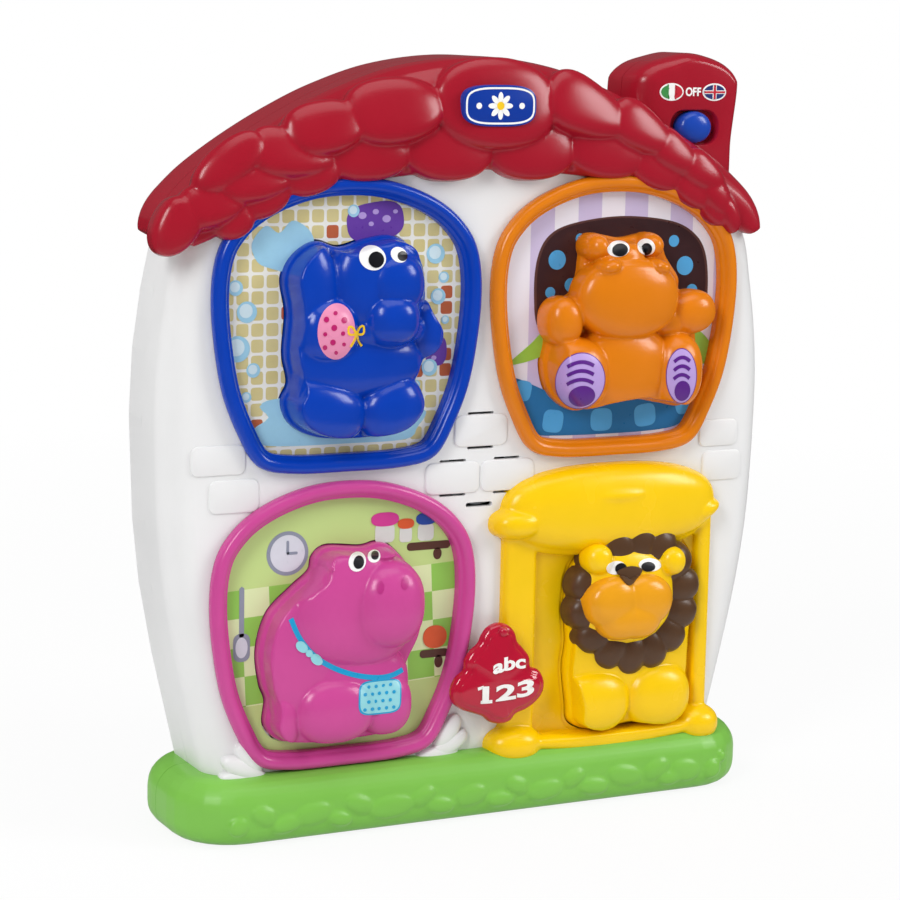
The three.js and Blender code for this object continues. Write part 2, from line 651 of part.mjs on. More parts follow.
for (const [name, side] of [["battery_contact_left", -1], ["battery_contact_right", 1]]) {
  const outerX = side * (trayInnerWidth / 2 - fit);
  const plate = boxed(outerX - side * contactThickness / 2, batteryY, batteryZ,
    contactThickness, batteryRadius, trayInnerHeight - 2 * fit);
  const bumpLength = contactThickness + contactGap - fit;
  const bumps = [-1, 0, 1].map((row) => boxed(outerX - (side * bumpLength) / 2, batteryY,
    batteryZ + row * batteryPitch, bumpLength, batteryRadius / 2, batteryRadius / 2));
  add(name, joined(plate, ...bumps), "steel");
}
const cover = slab(roundedBlock(0, batteryZ, doorPlateWidth, doorPlateHeight, wall),
  houseDepth - wall, houseDepth, 0, 1, wall / 4)
  .subtract(rod(0, doorScrewZ, doorScrewRadius + fit, houseDepth - wall - overrun, houseDepth + overrun, 10))
  .subtract(rod(0, doorScrewZ, screwHeadRadius + fit, houseDepth - wall / 2, houseDepth + overrun, 12));
add("battery_door", cover, "white");
const doorScrew = rod(0, doorScrewZ, doorScrewRadius, batteryY + batteryRadius / 2, houseDepth - wall / 4, 10)
  .add(rod(0, doorScrewZ, screwHeadRadius, houseDepth - wall / 2 + fit, houseDepth - fit / 3, 12));
add("battery_door_screw", doorScrew, "steel");
for (const [index, { x, z }] of bosses.entries()) {
  const seat = houseDepth - 2 * screwHeadHeight + fit;
  add(`case_screw_${index + 1}`, rod(x, z, screwRadius, seamDepth - 2 * bossRadius, seat + fit, 8)
    .add(rod(x, z, screwHeadRadius, seat, seat + screwHeadHeight, 10)), "steel");
}

// Roof: a hollow cap over the house with two rows of swollen tiles, in a front and a back half
const roofBackDepth = houseDepth + fit + roofWall;
const roofOuter = slab(roofArch(0), -roofFace, roofBackDepth, roofCrown, 2, roofCrown);
const roofBody = roofOuter.intersect(slab(roofBand(), -roofFace - overrun, roofBackDepth + overrun));
const upperTileShares = [
  [-0.32, 0.575, 0.155, 0.32, 5], [-0.535, 0.455, 0.135, 0.26, 22], [-0.69, 0.29, 0.1, 0.22, 35],
  [-0.86, 0.09, 0.12, 0.22, 42], [-0.955, -0.3, 0.12, 0.22, 40], [0.014, 0.6, 0.2, 0.385, 0],
  [0.317, 0.535, 0.14, 0.265, -18], [0.49, 0.33, 0.12, 0.18, -30], [0.613, 0.13, 0.085, 0.15, -30],
  [0.733, -0.07, 0.085, 0.16, -40], [0.79, -0.3, 0.055, 0.12, -50], [0.9, -0.35, 0.12, 0.15, -48],
];
const lowerTileShares = [
  [-0.148, 0.19, 0.148, 0.24, 0], [-0.4, 0.19, 0.14, 0.2, 0], [-0.62, 0.09, 0.12, 0.18, 15],
  [-0.75, -0.09, 0.113, 0.18, 22], [-0.83, -0.3, 0.063, 0.16, 30], [0.12, 0.19, 0.148, 0.24, 0],
  [0.38, 0.17, 0.134, 0.24, 0], [0.557, 0.03, 0.1, 0.16, -15], [0.69, -0.13, 0.085, 0.16, -25],
];
const tileBaseZ = roofRidge - ridgeRise;
function tileLobes(shares, proud) {
  return shares.map(([u, v, wide, high, tilt]) => lobe(u * roofHalfWidth, tileBaseZ + v * ridgeRise,
    wide * roofHalfWidth, high * ridgeRise, wall, -roofFace - proud, tilt, 8, 6)
    .intersect(halfSpace(-houseDepth, chimneySetback - fit)));
}
const tiles = [...tileLobes(upperTileShares, tileProud), ...tileLobes(lowerTileShares, tileProud / 2)];
const frameClear = windows.map(({ x, z }) => slab(windowRing(x, z, fit, 2), -frameProud - fit, houseDepth));
let roof = joined(roofBody.subtract(chimneyNotch), ...tiles)
  .subtract(slab(houseRing(fit), -fit, houseDepth + fit));
for (const clear of frameClear) {
  roof = roof.subtract(clear);
}
const badgeZ = roofRidge - badgePlaceShare * ridgeRise;
const badgeSeat = -roofFace - tileProud + badgeThickness / 2;
const badgeRing = (grow) => {
  const path = new THREE.EllipseCurve(0, badgeZ, badgeWidth / 2 + grow, badgeHeight / 2 + grow);
  return path.getPoints(20).slice(0, -1);
};
roof = roof.subtract(slab(badgeRing(fit), -roofFace - 2 * tileProud, badgeSeat + fit));
add("roof_front", mainBody(roof.intersect(halfSpace(-2 * houseDepth, seamDepth))), "red");
add("roof_back", mainBody(roof.intersect(halfSpace(seamDepth + fit, 2 * houseDepth))), "red");
add("roof_badge", slab(badgeRing(0), badgeSeat - badgeThickness, badgeSeat, badgeThickness / 2, 1), "blue");

// Chimney: a hollow box in a notch of the roof, in two halves, with the switch pocket in its front
const chimneyOuter = slab(chimneyRing(0), chimneySetback, chimneyBack, chimneyEdge, 2, chimneyEdge);
const chimneyHollow = slab(chimneyRing(-wall), chimneySetback + wall, chimneyBack - wall);
const chimneyInner = chimneyHollow.add(chimneyHollow.translate([0, 0, -3 * wall]));
const knobPlace = {
  x: (chimneyLeft + chimneyRight) / 2 + chimneyWidth / 26,
  z: roofRidge - knobPlaceShare * ridgeRise,
};
const pocketLength = knobLength + 2 * knobTravel + 2 * fit;
const pocketHeight = knobHeight + 2 * fit;
const pocketBack = chimneySetback + switchPocketDepth;
const pocketCup = blockBetween(knobPlace.x - pocketLength / 2 - thinWall, knobPlace.x + pocketLength / 2 + thinWall,
  knobPlace.z - pocketHeight / 2 - thinWall, knobPlace.z + pocketHeight / 2 + thinWall,
  chimneySetback + wall / 2, pocketBack + thinWall);
const pocketCut = slab(roundedBlock(knobPlace.x, knobPlace.z, pocketLength, pocketHeight, pocketHeight / 2.2),
  chimneySetback - overrun, pocketBack);
const stemSlot = boxed(knobPlace.x, pocketBack, knobPlace.z, switchStem + 2 * knobTravel + 2 * fit, wall * 3,
  switchStem + 2 * fit);
const chimney = chimneyOuter.subtract(chimneyInner).add(pocketCup).subtract(pocketCut).subtract(stemSlot);
const chimneySeam = chimneySetback + chimneyDepth / 2;
add("chimney_front", mainBody(chimney.intersect(halfSpace(-houseDepth, chimneySeam))), "red");
add("chimney_back", mainBody(chimney.intersect(halfSpace(chimneySeam + fit, 2 * houseDepth))), "red");
const knobRoot = pocketBack - fit;
const knobDome = lobe(knobPlace.x, knobPlace.z, knobLength / 2, knobHeight / 2, knobRoot,
  chimneySetback - knobProud, 0, 16, 10).intersect(halfSpace(-houseDepth, knobRoot));
const switchFront = pocketBack + thinWall + fit;
const knobStem = boxed(knobPlace.x, (knobRoot + switchFront + switchCaseDepth / 2 - fit) / 2 - fit, knobPlace.z,
  switchStem, switchFront + switchCaseDepth / 2 - knobRoot, switchStem);
add("language_switch_knob", knobDome.add(knobStem), "blue");
const switchCase = boxed(knobPlace.x, switchFront + switchCaseDepth / 2, knobPlace.z, switchCaseLength,
  switchCaseDepth, switchCaseHeight)
  .subtract(boxed(knobPlace.x, switchFront, knobPlace.z, switchStem + 2 * knobTravel + 2 * fit,
    switchCaseDepth + 2 * fit, switchStem + 2 * fit));
add("slide_switch", switchCase, "steel");

// Base: a hollow log in two halves that the house stands in
const baseBack = houseDepth + baseBackReach;
function planRing(grow) {
  const halfLength = baseHalfLength + grow;
  const [near, far] = [-baseFrontReach - grow, baseBack + grow];
  const corner = baseEndRadius + grow;
  const shape = new THREE.Shape();
  shape.moveTo(-halfLength + corner, near);
  shape.lineTo(halfLength - corner, near);
  shape.absarc(halfLength - corner, near + corner, corner, -Math.PI / 2, 0, false);
  shape.absarc(halfLength - corner, far - corner, corner, 0, Math.PI / 2, false);
  shape.absarc(-halfLength + corner, far - corner, corner, Math.PI / 2, Math.PI, false);
  shape.absarc(-halfLength + corner, near + corner, corner, Math.PI, 1.5 * Math.PI, false);
  const points = shape.getPoints(3);
  return points.slice(0, -1).filter((point, index) => index === 0 || point.distanceTo(points[index - 1]) > fit);
}
function log(points, bottom, top, edge, steps) {
  const geometry = new THREE.ExtrudeGeometry(new THREE.Shape(points), {
    depth: top - bottom - 2 * edge,
    bevelEnabled: true,
    bevelThickness: edge,
    bevelSize: edge,
    bevelOffset: -edge,
    bevelSegments: steps,
    curveSegments: 1,
  });
  geometry.translate(0, 0, bottom + edge);
  return solidOf(geometry);
}
const ribHalfThickness = thinWall / 2;
const baseInner = log(planRing(-wall), baseFloor, baseHeight - wall, baseEdge - wall, 1);
const ribs = ribPlaceShares.map((share) => blockBetween(share * houseHalfWidth - ribHalfThickness,
  share * houseHalfWidth + ribHalfThickness, baseFloor / 2, houseBottom - fit, -baseFrontReach / 2,
  houseDepth + baseBackReach / 2));
const houseSocket = slab(houseRing(fit), -fit, houseDepth + fit);
const base = log(planRing(0), 0, baseHeight, baseEdge, 2)
  .subtract(baseInner)
  .add(joined(...ribs))
  .subtract(houseSocket);
const footSeats = footLobes(fit);
add("base_front", mainBody(base.subtract(footSeats).intersect(halfSpace(-2 * houseDepth, seamDepth))), "green");
add("base_back", base.intersect(halfSpace(seamDepth + fit, 2 * houseDepth)), "green");

// Animals: a sculpted front shell and a flat back plate each. A lobe's shares are its place across and
// up the animal, its width and height, how far it swells, and its tilt in degrees.
const lobeShares = {
  elephant: [
    [0.62, 0.7, 0.66, 0.58, 1], [0.19, 0.73, 0.4, 0.5, 0.75, 10], [0.48, 0.4, 0.94, 0.5, 0.8],
    [0.27, 0.14, 0.56, 0.3, 0.85], [0.68, 0.15, 0.42, 0.28, 0.85], [0.7, 0.56, 0.34, 0.28, 1.15],
    [0.89, 0.51, 0.22, 0.26, 0.8], [0.33, 0.53, 0.4, 0.34, 0.95],
  ],
  sitting_hippo: [
    [0.46, 0.85, 0.46, 0.3, 0.8], [0.3, 0.92, 0.15, 0.15, 0.7], [0.62, 0.93, 0.15, 0.14, 0.7],
    [0.5, 0.62, 0.62, 0.42, 1.15], [0.13, 0.52, 0.25, 0.26, 0.8], [0.86, 0.53, 0.3, 0.24, 0.8],
    [0.52, 0.28, 0.66, 0.5, 0.8], [0.22, 0.2, 0.42, 0.42, 0.95], [0.81, 0.2, 0.3, 0.4, 0.95],
  ],
  standing_hippo: [
    [0.4, 0.5, 0.8, 0.76, 0.85], [0.6, 0.69, 0.76, 0.62, 1], [0.76, 0.67, 0.46, 0.42, 1.2],
    [0.38, 0.92, 0.14, 0.16, 0.7], [0.74, 0.94, 0.12, 0.12, 0.7],
    [0.21, 0.13, 0.34, 0.28, 0.8], [0.5, 0.13, 0.44, 0.28, 0.95], [0.8, 0.14, 0.26, 0.3, 0.75],
  ],
  lion: [[0.5, 0.25, 1, 0.5, 0.6], [0.27, 0.14, 0.54, 0.28, 0.8], [0.76, 0.14, 0.48, 0.28, 0.8]],
};
const plateBack = animalBack - animalBackWall;

function bodyLobes(shares, piece, root) {
  const { place, width, height } = piece;
  const inside = slab(animalRing(piece), -2 * bulge, root);
  return joined(...shares.map(([u, v, wide, high, proud, tilt = 0]) => lobe(place.x + (u - 1 / 2) * width,
    place.z + (v - 1 / 2) * height, (wide / 2) * width, (high / 2) * height, root, -proud * bulge, tilt, 10, 6)))
    .intersect(inside);
}

for (const opening of windows) {
  const outline = animalRing(opening);
  const hollow = slab(animalRing(opening, -animalShell), animalShell / 2 - frameProud, animalBack);
  const shell = slab(outline, -frameProud, plateBack, doorEdge, 1)
    .add(bodyLobes(lobeShares[opening.animal], opening, collarDepth))
    .subtract(hollow)
    .intersect(halfSpace(-2 * bulge, plateBack - fit));
  add(`${opening.animal}_front`, shell, opening.name);
  add(`${opening.animal}_back`, slab(offset(outline, -fit), plateBack, animalBack), opening.name);
}

// Lion: body, mane ring, muzzle and back plate
const lionOutline = lionRing(0);
const maneRoot = -fit;
const maneFront = -maneProudShare * bulge;
const faceHalf = { x: faceShares[0] * lionWidth, z: faceShares[1] * lionHeight };
const faceRing = (grow) => new THREE.EllipseCurve(lionFaceX, faceZ, faceHalf.x + grow, faceHalf.z + grow)
  .getPoints(18).slice(0, -1);
const faceFront = -faceProudShare * bulge;
const face = slab(faceRing(0), faceFront, fit, bulge / 3, 2);
const earLobes = (grow) => joined(...earShares.map(([u, v, wide, high]) => lobe(lionFaceX + u * lionWidth,
  faceZ + v * lionHeight, wide * lionWidth + grow, high * lionHeight + grow, maneRoot + grow, faceFront - grow,
  0, 8, 4)));
const curlSteps = 4;
const maneRing = Array.from({ length: maneCurls * curlSteps }, (_, index) => {
  const angle = (index / (maneCurls * curlSteps)) * 2 * Math.PI;
  const swell = maneScallop * Math.abs(Math.sin((angle * maneCurls) / 2));
  return new THREE.Vector2(lionFaceX + (maneHalf.x - maneScallop + swell) * Math.cos(angle),
    faceZ + (maneHalf.z - maneScallop + swell) * Math.sin(angle));
});
const mane = slab(maneRing, maneFront, maneRoot, maneBand / 2, 2)
  .subtract(slab(faceRing(fit), -2 * bulge, bulge))
  .subtract(earLobes(fit));
add("lion_mane", mane, "brown");
const muzzleZ = faceZ - muzzleDropShare * lionHeight;
const muzzleHalf = { x: muzzleShares[0] * faceHalf.x, z: muzzleShares[1] * faceHalf.z };
const muzzleSeat = faceFront + bulge / 4;
const muzzleCut = slab(new THREE.EllipseCurve(lionFaceX, muzzleZ, muzzleHalf.x, muzzleHalf.z).getPoints(18)
  .slice(0, -1), -2 * bulge, muzzleSeat);
const lionBody = slab(lionOutline, 0, plateBack, doorEdge, 1)
  .add(bodyLobes(lobeShares.lion, lion, doorPanelDepth))
  .subtract(maneClear(maneBand, -2 * bulge, maneRoot + fit))
  .add(face)
  .add(earLobes(0))
  .subtract(slab(lionRing(-animalShell), animalShell / 2, animalBack))
  .intersect(halfSpace(-2 * bulge, plateBack - fit))
  .subtract(muzzleCut);
add("lion_body", lionBody, "yellow");
const muzzle = lobe(lionFaceX, muzzleZ, muzzleHalf.x - 2 * fit, muzzleHalf.z - 2 * fit, muzzleSeat - fit,
  -muzzleProudShare * bulge, 0, 14, 8).intersect(halfSpace(-3 * bulge, muzzleSeat - fit));
add("lion_muzzle", muzzle, "orange");
add("lion_back", slab(offset(lionOutline, -fit), plateBack, animalBack), "yellow");

// Push button with its rubber dome, the lamp and the circuit board on two posts
const buttonBack = -frameProud - buttonTravel - fit;
const domeBack = boardFront - buttonTravel - fit;
const domeFront = domeBack - domeHeight;
const button = slab(buttonRing(0), buttonBack - buttonThickness, buttonBack, buttonThickness / 2, 2)
  .add(rod(buttonPlace.x, buttonPlace.z, buttonStemRadius, buttonBack - fit, domeFront - fit, 16));
add("red_button", button, "ruby");
const dome = new THREE.CylinderGeometry(buttonStemRadius / 2, buttonStemRadius, domeHeight, 14);
dome.translate(buttonPlace.x, domeFront + domeHeight / 2, buttonPlace.z);
add("button_dome", solidOf(dome), "rubber");
const boardBack = boardFront + boardThickness;
let board = blockBetween(boardX - boardWidth / 2, boardX + boardWidth / 2, buttonPlace.z - boardHeight / 2,
  buttonPlace.z + boardHeight / 2, boardFront, boardBack);
for (const [index, { x, z }] of posts.entries()) {
  board = board.subtract(rod(x, z, screwRadius + fit, boardFront - overrun, boardBack + overrun, 8));
  add(`board_screw_${index + 1}`, rod(x, z, screwRadius, boardFront - postRadius, boardBack + screwHeadHeight, 8)
    .add(rod(x, z, screwHeadRadius, boardBack + fit, boardBack + fit + screwHeadHeight, 10)), "steel");
}
add("circuit_board", board, "board");
add("button_lamp", rod(buttonPlace.x, buttonPlace.z + 2 * buttonStemRadius, lampRadius, boardFront - lampHeight,
  boardFront - fit, 10), "rubber");

// Piece sensors behind the trays, and the speaker behind the slots
const sensorPlaces = windows.map(({ name, place, z }) => [name, place.x, z + nibPlaceShare * windowHeight]);
sensorPlaces.push(["door", lionPlace.x, lionPlace.z]);
for (const [name, x, z] of sensorPlaces) {
  const caseFront = trayBack + fit;
  const sensor = boxed(x, caseFront + sensorDepth / 2, z, sensorSize, sensorDepth, sensorSize)
    .add(rod(x, z, sensorNib, animalBack + fit, caseFront + fit, 8));
  add(`${name}_piece_sensor`, sensor, "black");
}
const speakerFront = wall + fit;
const basketProfile = [
  [speakerRadius - thinWall * 2, 0], [speakerRadius, 0], [speakerRadius, thinWall],
  [speakerRadius - thinWall, thinWall], [magnetRadius, speakerDepth], [magnetRadius / 2, speakerDepth],
  [magnetRadius / 2, speakerDepth - thinWall], [speakerRadius - 2 * thinWall, thinWall],
];
const coneProfile = [
  [0, speakerDepth * 0.55], [magnetRadius / 2, speakerDepth * 0.55], [speakerRadius - 2 * thinWall - fit, fit],
  [speakerRadius - 2 * thinWall - fit, fit * 3], [magnetRadius / 2, speakerDepth * 0.62], [0, speakerDepth * 0.62],
];
function turned(profile, x, front, z, sides) {
  const points = profile.map(([radius, along]) => new THREE.Vector2(radius, along));
  const closed = profile[0][0] === 0 ? points : [...points, points[0].clone()];
  const geometry = new THREE.LatheGeometry(closed, sides);
  geometry.translate(x, front, z);
  return geometry;
}
function outward(geometry) {
  const solid = solidOf(geometry);
  return solid.volume() > 0 ? solid : solidOf(geometry.clone().scale(-1, 1, 1));
}
add("speaker_basket", outward(turned(basketProfile, 0, speakerFront, speakerZ, 20)), "steel");
add("speaker_cone", outward(turned(coneProfile, 0, speakerFront, speakerZ, 20)), "black");
add("speaker_magnet", rod(0, speakerZ, magnetRadius, speakerFront + speakerDepth + fit,
  speakerFront + speakerDepth + fit + magnetDepth, 16), "steel");

export default group;
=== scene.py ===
"""The looks of a house-shaped shape sorter: four animals that lift out of three windows and a doorway.

Tables hold millimetres. X runs to the right, Y from the front of the house to its back, and Z up.
"""

import math

import bmesh
import bpy
from bpy.props import FloatProperty, FloatVectorProperty, IntProperty, PointerProperty
from mathutils import Matrix, Vector
from mathutils.bvhtree import BVHTree
from mathutils.kdtree import KDTree


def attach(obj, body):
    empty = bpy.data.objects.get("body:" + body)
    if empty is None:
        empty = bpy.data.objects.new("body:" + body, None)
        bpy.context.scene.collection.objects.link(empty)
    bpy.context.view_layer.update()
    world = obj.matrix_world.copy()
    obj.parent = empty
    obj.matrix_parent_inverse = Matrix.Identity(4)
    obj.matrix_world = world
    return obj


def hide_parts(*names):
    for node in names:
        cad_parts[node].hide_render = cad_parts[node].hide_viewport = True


bl_info = {
    "name": "Shape Sorter House",
    "version": (1, 0, 0),
    "blender": (4, 5, 0),
    "location": "3D View > Sidebar > Shape Sorter",
    "description": "Builds the visible pieces of a house-shaped sorter with four lift-out animals",
    "category": "Add Mesh",
}

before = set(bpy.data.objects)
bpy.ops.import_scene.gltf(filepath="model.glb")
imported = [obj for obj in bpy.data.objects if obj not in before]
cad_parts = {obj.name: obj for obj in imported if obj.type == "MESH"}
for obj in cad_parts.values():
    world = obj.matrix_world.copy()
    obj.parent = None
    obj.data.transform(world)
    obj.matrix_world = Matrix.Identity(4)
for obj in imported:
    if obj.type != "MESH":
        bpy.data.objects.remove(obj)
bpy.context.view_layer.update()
MM = 0.001
EYE = Vector((-514.9, -1007.1, 345.6)) * MM
CAMERA_RIGHT = (0.8968, -0.4420, 0.0197)
CAMERA_BACK = (-0.4391, -0.8836, 0.1625)
LENS_LENGTH = 107.25
SENSOR_WIDTH = 36


def linear(hex_colour):
    """A linear colour from the sRGB hex value that a paint chart or a screen would give."""
    channels = (int(hex_colour[start:start + 2], 16) / 255 for start in (1, 3, 5))
    return tuple(c / 12.92 if c <= 0.04045 else ((c + 0.055) / 1.055) ** 2.4 for c in channels)


# Sizes of the house that the tables below are drawn on
WINDOW_WIDTH = 120.8
WINDOW_HEIGHT = 122.0
COLUMN_X = 63.2
UPPER_SILL = 154.5
LOWER_SILL = 28.3
SHELL_WALL = 2.6
SHELL_EDGE = 13
OPENING_INSET = 4
SEAM_DEPTH = 26.0
SEAM_GAP = 0.3
CARD_FRONT = 2.0
CARD_THICKNESS = 0.9
CARD_INSET = 4.8
ANIMAL_PLAY = 0.6
PLATE_BACK = 10.9
POCKET_FLOOR = 13.2
CHIMNEY_FRONT = 5.0
CHIMNEY_BACK = 38.0
SWITCH_X = 104.55
SWITCH_Z = 296.3
ROOF_FRONT = -3.6
ROOF_BACK = 53.9
BASE_HALF_LENGTH = 137.0
BASE_FRONT = -14.5
BASE_BACK = 60.0
BASE_HEIGHT = 28.0
BASE_CORNER = 28

# How finely the forms are drawn
CURVE_STEPS = 8
CORNER_STEPS = 6
WELD_DISTANCE = 0.000002

# Outlines through which a smooth ring runs, anticlockwise as seen from the front
WINDOW_SHARES = [
    (0, 0), (0.42, 0.004), (0.66, 0.035), (0.8, 0.14), (0.93, 0.31),
    (1, 0.56), (0.97, 0.74), (0.84, 0.85), (0.62, 0.93), (0.31, 0.985), (0, 1),
]
HOUSE_HALF = [
    (0, 12), (60, 12), (104, 12), (115, 12.6), (119.6, 17), (124, 33.7), (133.4, 74.1), (139.1, 105.1),
    (142, 133), (143.4, 176.5), (142, 204.4), (138.4, 229.2), (134.1, 249.4), (121.9, 272.7), (100.4, 291.3),
    (71.7, 306.8), (35.9, 318.6), (0, 322.3),
]

# An animal's outline is in shares of its size. A lobe is a swelling: its middle across and up, half its
# width and height, the depth of its front, and its tilt in degrees.
ANIMALS = {
    "elephant": {
        "place": (-56.6, 210.6), "size": (71.5, 85),
        "shares": [
            (0.24, 0.01), (0.55, 0), (0.75, 0.04), (0.865, 0.155), (0.84, 0.27), (0.855, 0.36),
            (0.945, 0.415), (1, 0.51), (0.91, 0.63), (0.89, 0.76), (0.8, 0.93), (0.68, 0.99), (0.53, 0.98),
            (0.35, 0.94), (0.2, 0.97), (0.06, 0.9), (0, 0.79), (0.03, 0.63), (0.015, 0.43), (0.045, 0.29),
            (0, 0.195), (0.06, 0.08),
        ],
        "lobes": [
            (-81.5, 228, 15.5, 25, -15, 3), (-48.5, 231, 22, 23, -17, 0), (-38, 246, 9, 6, -13, -20),
            (-61, 199, 35, 15, -15.5, 0), (-76, 180.5, 24, 14, -17.5, -13), (-41.5, 179.5, 16, 13, -17, 24),
            (-71.5, 213, 14.4, 14.4, -19.5, 0), (-41.5, 232, 14.5, 14, -20, 8),
            (-42.5, 217, 13.5, 12.3, -22.8, 0), (-26, 212, 8, 13, -12.5, 0), (-46, 213, 20, 8, -17, 0),
        ],
    },
    "sitting_hippo": {
        "place": (68.6, 213.1), "size": (82, 77),
        "shares": [
            (0.2, 0), (0.37, 0.03), (0.56, 0.05), (0.72, 0.02), (0.87, 0), (0.97, 0.13), (0.95, 0.33),
            (0.94, 0.42), (0.995, 0.49), (0.995, 0.57), (0.93, 0.64), (0.83, 0.655), (0.82, 0.74),
            (0.74, 0.86), (0.7, 0.96), (0.6, 0.99), (0.46, 0.97), (0.3, 0.99), (0.23, 0.9), (0.21, 0.76),
            (0.17, 0.66), (0.07, 0.62), (0.01, 0.5), (0.03, 0.4), (0.01, 0.26), (0.06, 0.1),
        ],
        "lobes": [
            (67.2, 237.6, 12, 11.2, -15.6, 0), (92, 212, 9, 8, -12.5, 0), (70, 192, 24.5, 19, -17.4, 0),
            (70, 180, 26, 8, -13.5, 0), (45.5, 190, 18.5, 16.5, -20.5, 0), (97.5, 189.5, 12.5, 17.5, -20, 0),
        ],
    },
    "standing_hippo": {
        "place": (-64.4, 80.8), "size": (75, 84),
        "shares": [
            (0.25, 0.01), (0.5, 0), (0.76, 0.01), (0.92, 0.06), (0.93, 0.17), (0.9, 0.34), (0.98, 0.5),
            (1, 0.63), (0.94, 0.83), (0.81, 0.97), (0.72, 1), (0.62, 0.985), (0.41, 1), (0.33, 0.95),
            (0.31, 0.88), (0.2, 0.8), (0.06, 0.68), (0, 0.5), (0.02, 0.33), (0.055, 0.24), (0.045, 0.12),
            (0.11, 0.04),
        ],
        "lobes": [
            (-77, 74, 31, 38, -12.8, 12), (-56.5, 94.5, 29, 26, -18.8, -6),
            (-41.4, 95.2, 16.6, 19.5, -24.8, 0), (-75, 118, 6, 6.6, -18.6, 10),
            (-45, 119.6, 6, 5, -17, 0), (-58, 62, 27, 18, -14, 0), (-93, 49, 11.5, 13.5, -13.5, 0),
            (-66, 51.5, 19, 15, -18.5, 0), (-42.5, 52, 12.5, 14, -15.5, 0),
        ],
    },
    "lion": {
        "place": (75.2, 76.0), "size": (64, 91),
        "shares": [
            (0.25, 0), (0.5, 0.02), (0.75, 0), (0.95, 0.04), (0.98, 0.16), (0.97, 0.3), (0.99, 0.45),
            (1, 0.63), (0.98, 0.8), (0.84, 0.93), (0.6, 1), (0.4, 0.99), (0.2, 0.93), (0.04, 0.82),
            (0, 0.64), (0.02, 0.46), (0, 0.33), (0.03, 0.16), (0.06, 0.05),
        ],
        "lobes": [
            (75.5, 60, 34, 31, -9, 0), (60.2, 42, 18.5, 14.5, -14.5, 0), (93, 42.2, 17, 15, -14.5, 0),
        ],
    },
}
BUTTON_EDGE = [
    (16, 81.4), (11.3, 82.6), (6.5, 81), (3.6, 77.6), (2, 74.2), (-1.8, 71), (-4.4, 67.4), (-4.8, 63),
    (-8.6, 59.8), (-11, 54.8), (-10.2, 49.4), (-6, 45.6), (0, 43.2), (4.4, 41.4), (8, 38.6), (13.4, 37.2),
    (18, 38.2), (20.6, 41), (25, 42.4), (30, 45.2), (33.8, 49.6), (34.4, 55), (31.8, 59.8), (27.6, 62),
    (26.8, 66.4), (23.8, 70.4), (20.8, 73.8), (19.4, 78),
]
CHIMNEY_SHARES = [
    (0, 0.2), (0.02, 0), (0.5, 0), (0.9, 0), (0.955, 0.45), (1, 0.76), (0.98, 0.85), (0.87, 0.93),
    (0.7, 0.98), (0.52, 1), (0.34, 0.975), (0.15, 0.93), (0.03, 0.86), (0, 0.78), (0, 0.5),
]


def length(name, description, metres, least, most, digits=5):
    """A size of the panel."""
    return FloatProperty(name=name, description=description, default=metres, min=least, soft_max=most,
                         precision=digits, subtype="DISTANCE", unit="LENGTH")


def paint(name, description, hex_colour):
    """A colour of the panel."""
    return FloatVectorProperty(name=name, description=description, default=linear(hex_colour), min=0, max=1,
                               subtype="COLOR")


def power(name, description, watts):
    """The power of a lamp."""
    return FloatProperty(name=name, description=description, default=watts, min=0, unit="POWER")


class ShapeSorterSizes(bpy.types.PropertyGroup):
    """Sizes of the mouldings that a user would change."""

    animal_grain: length("Animal Grain", "Edge length of the faces that an animal is sculpted from",
                         0.00055, 0.0004, 0.002)
    roof_grain: length("Roof Grain", "Edge length of the faces that the roof is sculpted from",
                       0.00075, 0.0005, 0.003)
    crease_rounds: IntProperty(
        name="Crease Rounds", description="How often the creases between two swellings are relaxed",
        default=2, min=0, soft_max=12)
    brick_relief: length("Brick Relief", "How far a brick stands proud of the white wall", 0.0009, 0, 0.003)
    leaf_relief: length("Leaf Relief", "How far a leaf stands proud of the green base", 0.0016, 0, 0.003)
    print_lift: length("Print Lift", "Height of a print above the moulding that it is on",
                       0.00016, 0.00002, 0.001, 6)


class ShapeSorterColours(bpy.types.PropertyGroup):
    """Colours of the plastics."""

    shell: paint("Shell", "White of the house", "#E7E7E7")
    roof: paint("Roof", "Red of the roof and the chimney", "#A01327")
    base: paint("Base", "Green of the base", "#7CBF4B")
    door: paint("Doorway", "Yellow of the doorway and the lion", "#F8CB00")
    blue: paint("Blue", "Blue of the window frame and the elephant", "#043CAE")
    orange: paint("Orange", "Orange of the window frame and the sitting hippo", "#DC7B09")
    pink: paint("Pink", "Pink of the window frame and the standing hippo", "#C84893")
    mane: paint("Mane", "Brown of the lion's mane and nose", "#553A25")
    muzzle: paint("Muzzle", "Amber of the lion's muzzle", "#E89F18")
    button: paint("Button", "Red of the push button", "#C8193A")
    knob: paint("Knob", "Blue of the switch knob", "#1A45AC")


class ShapeSorterStudio(bpy.types.PropertyGroup):
    """Light of the studio."""

    key_power: power("Key Power", "Power of the soft box at the upper left", 16.5)
    fill_power: power("Fill Power", "Power of the soft box at the right", 13.0)
    top_power: power("Top Power", "Power of the panel overhead", 7.0)
    back_power: power("Back Power", "Power of the panel behind the house", 10.0)
    ambient: FloatProperty(
        name="Ambient", description="Strength of the even light from all round", default=0.36, min=0,
        soft_max=2, subtype="FACTOR")


# Curves


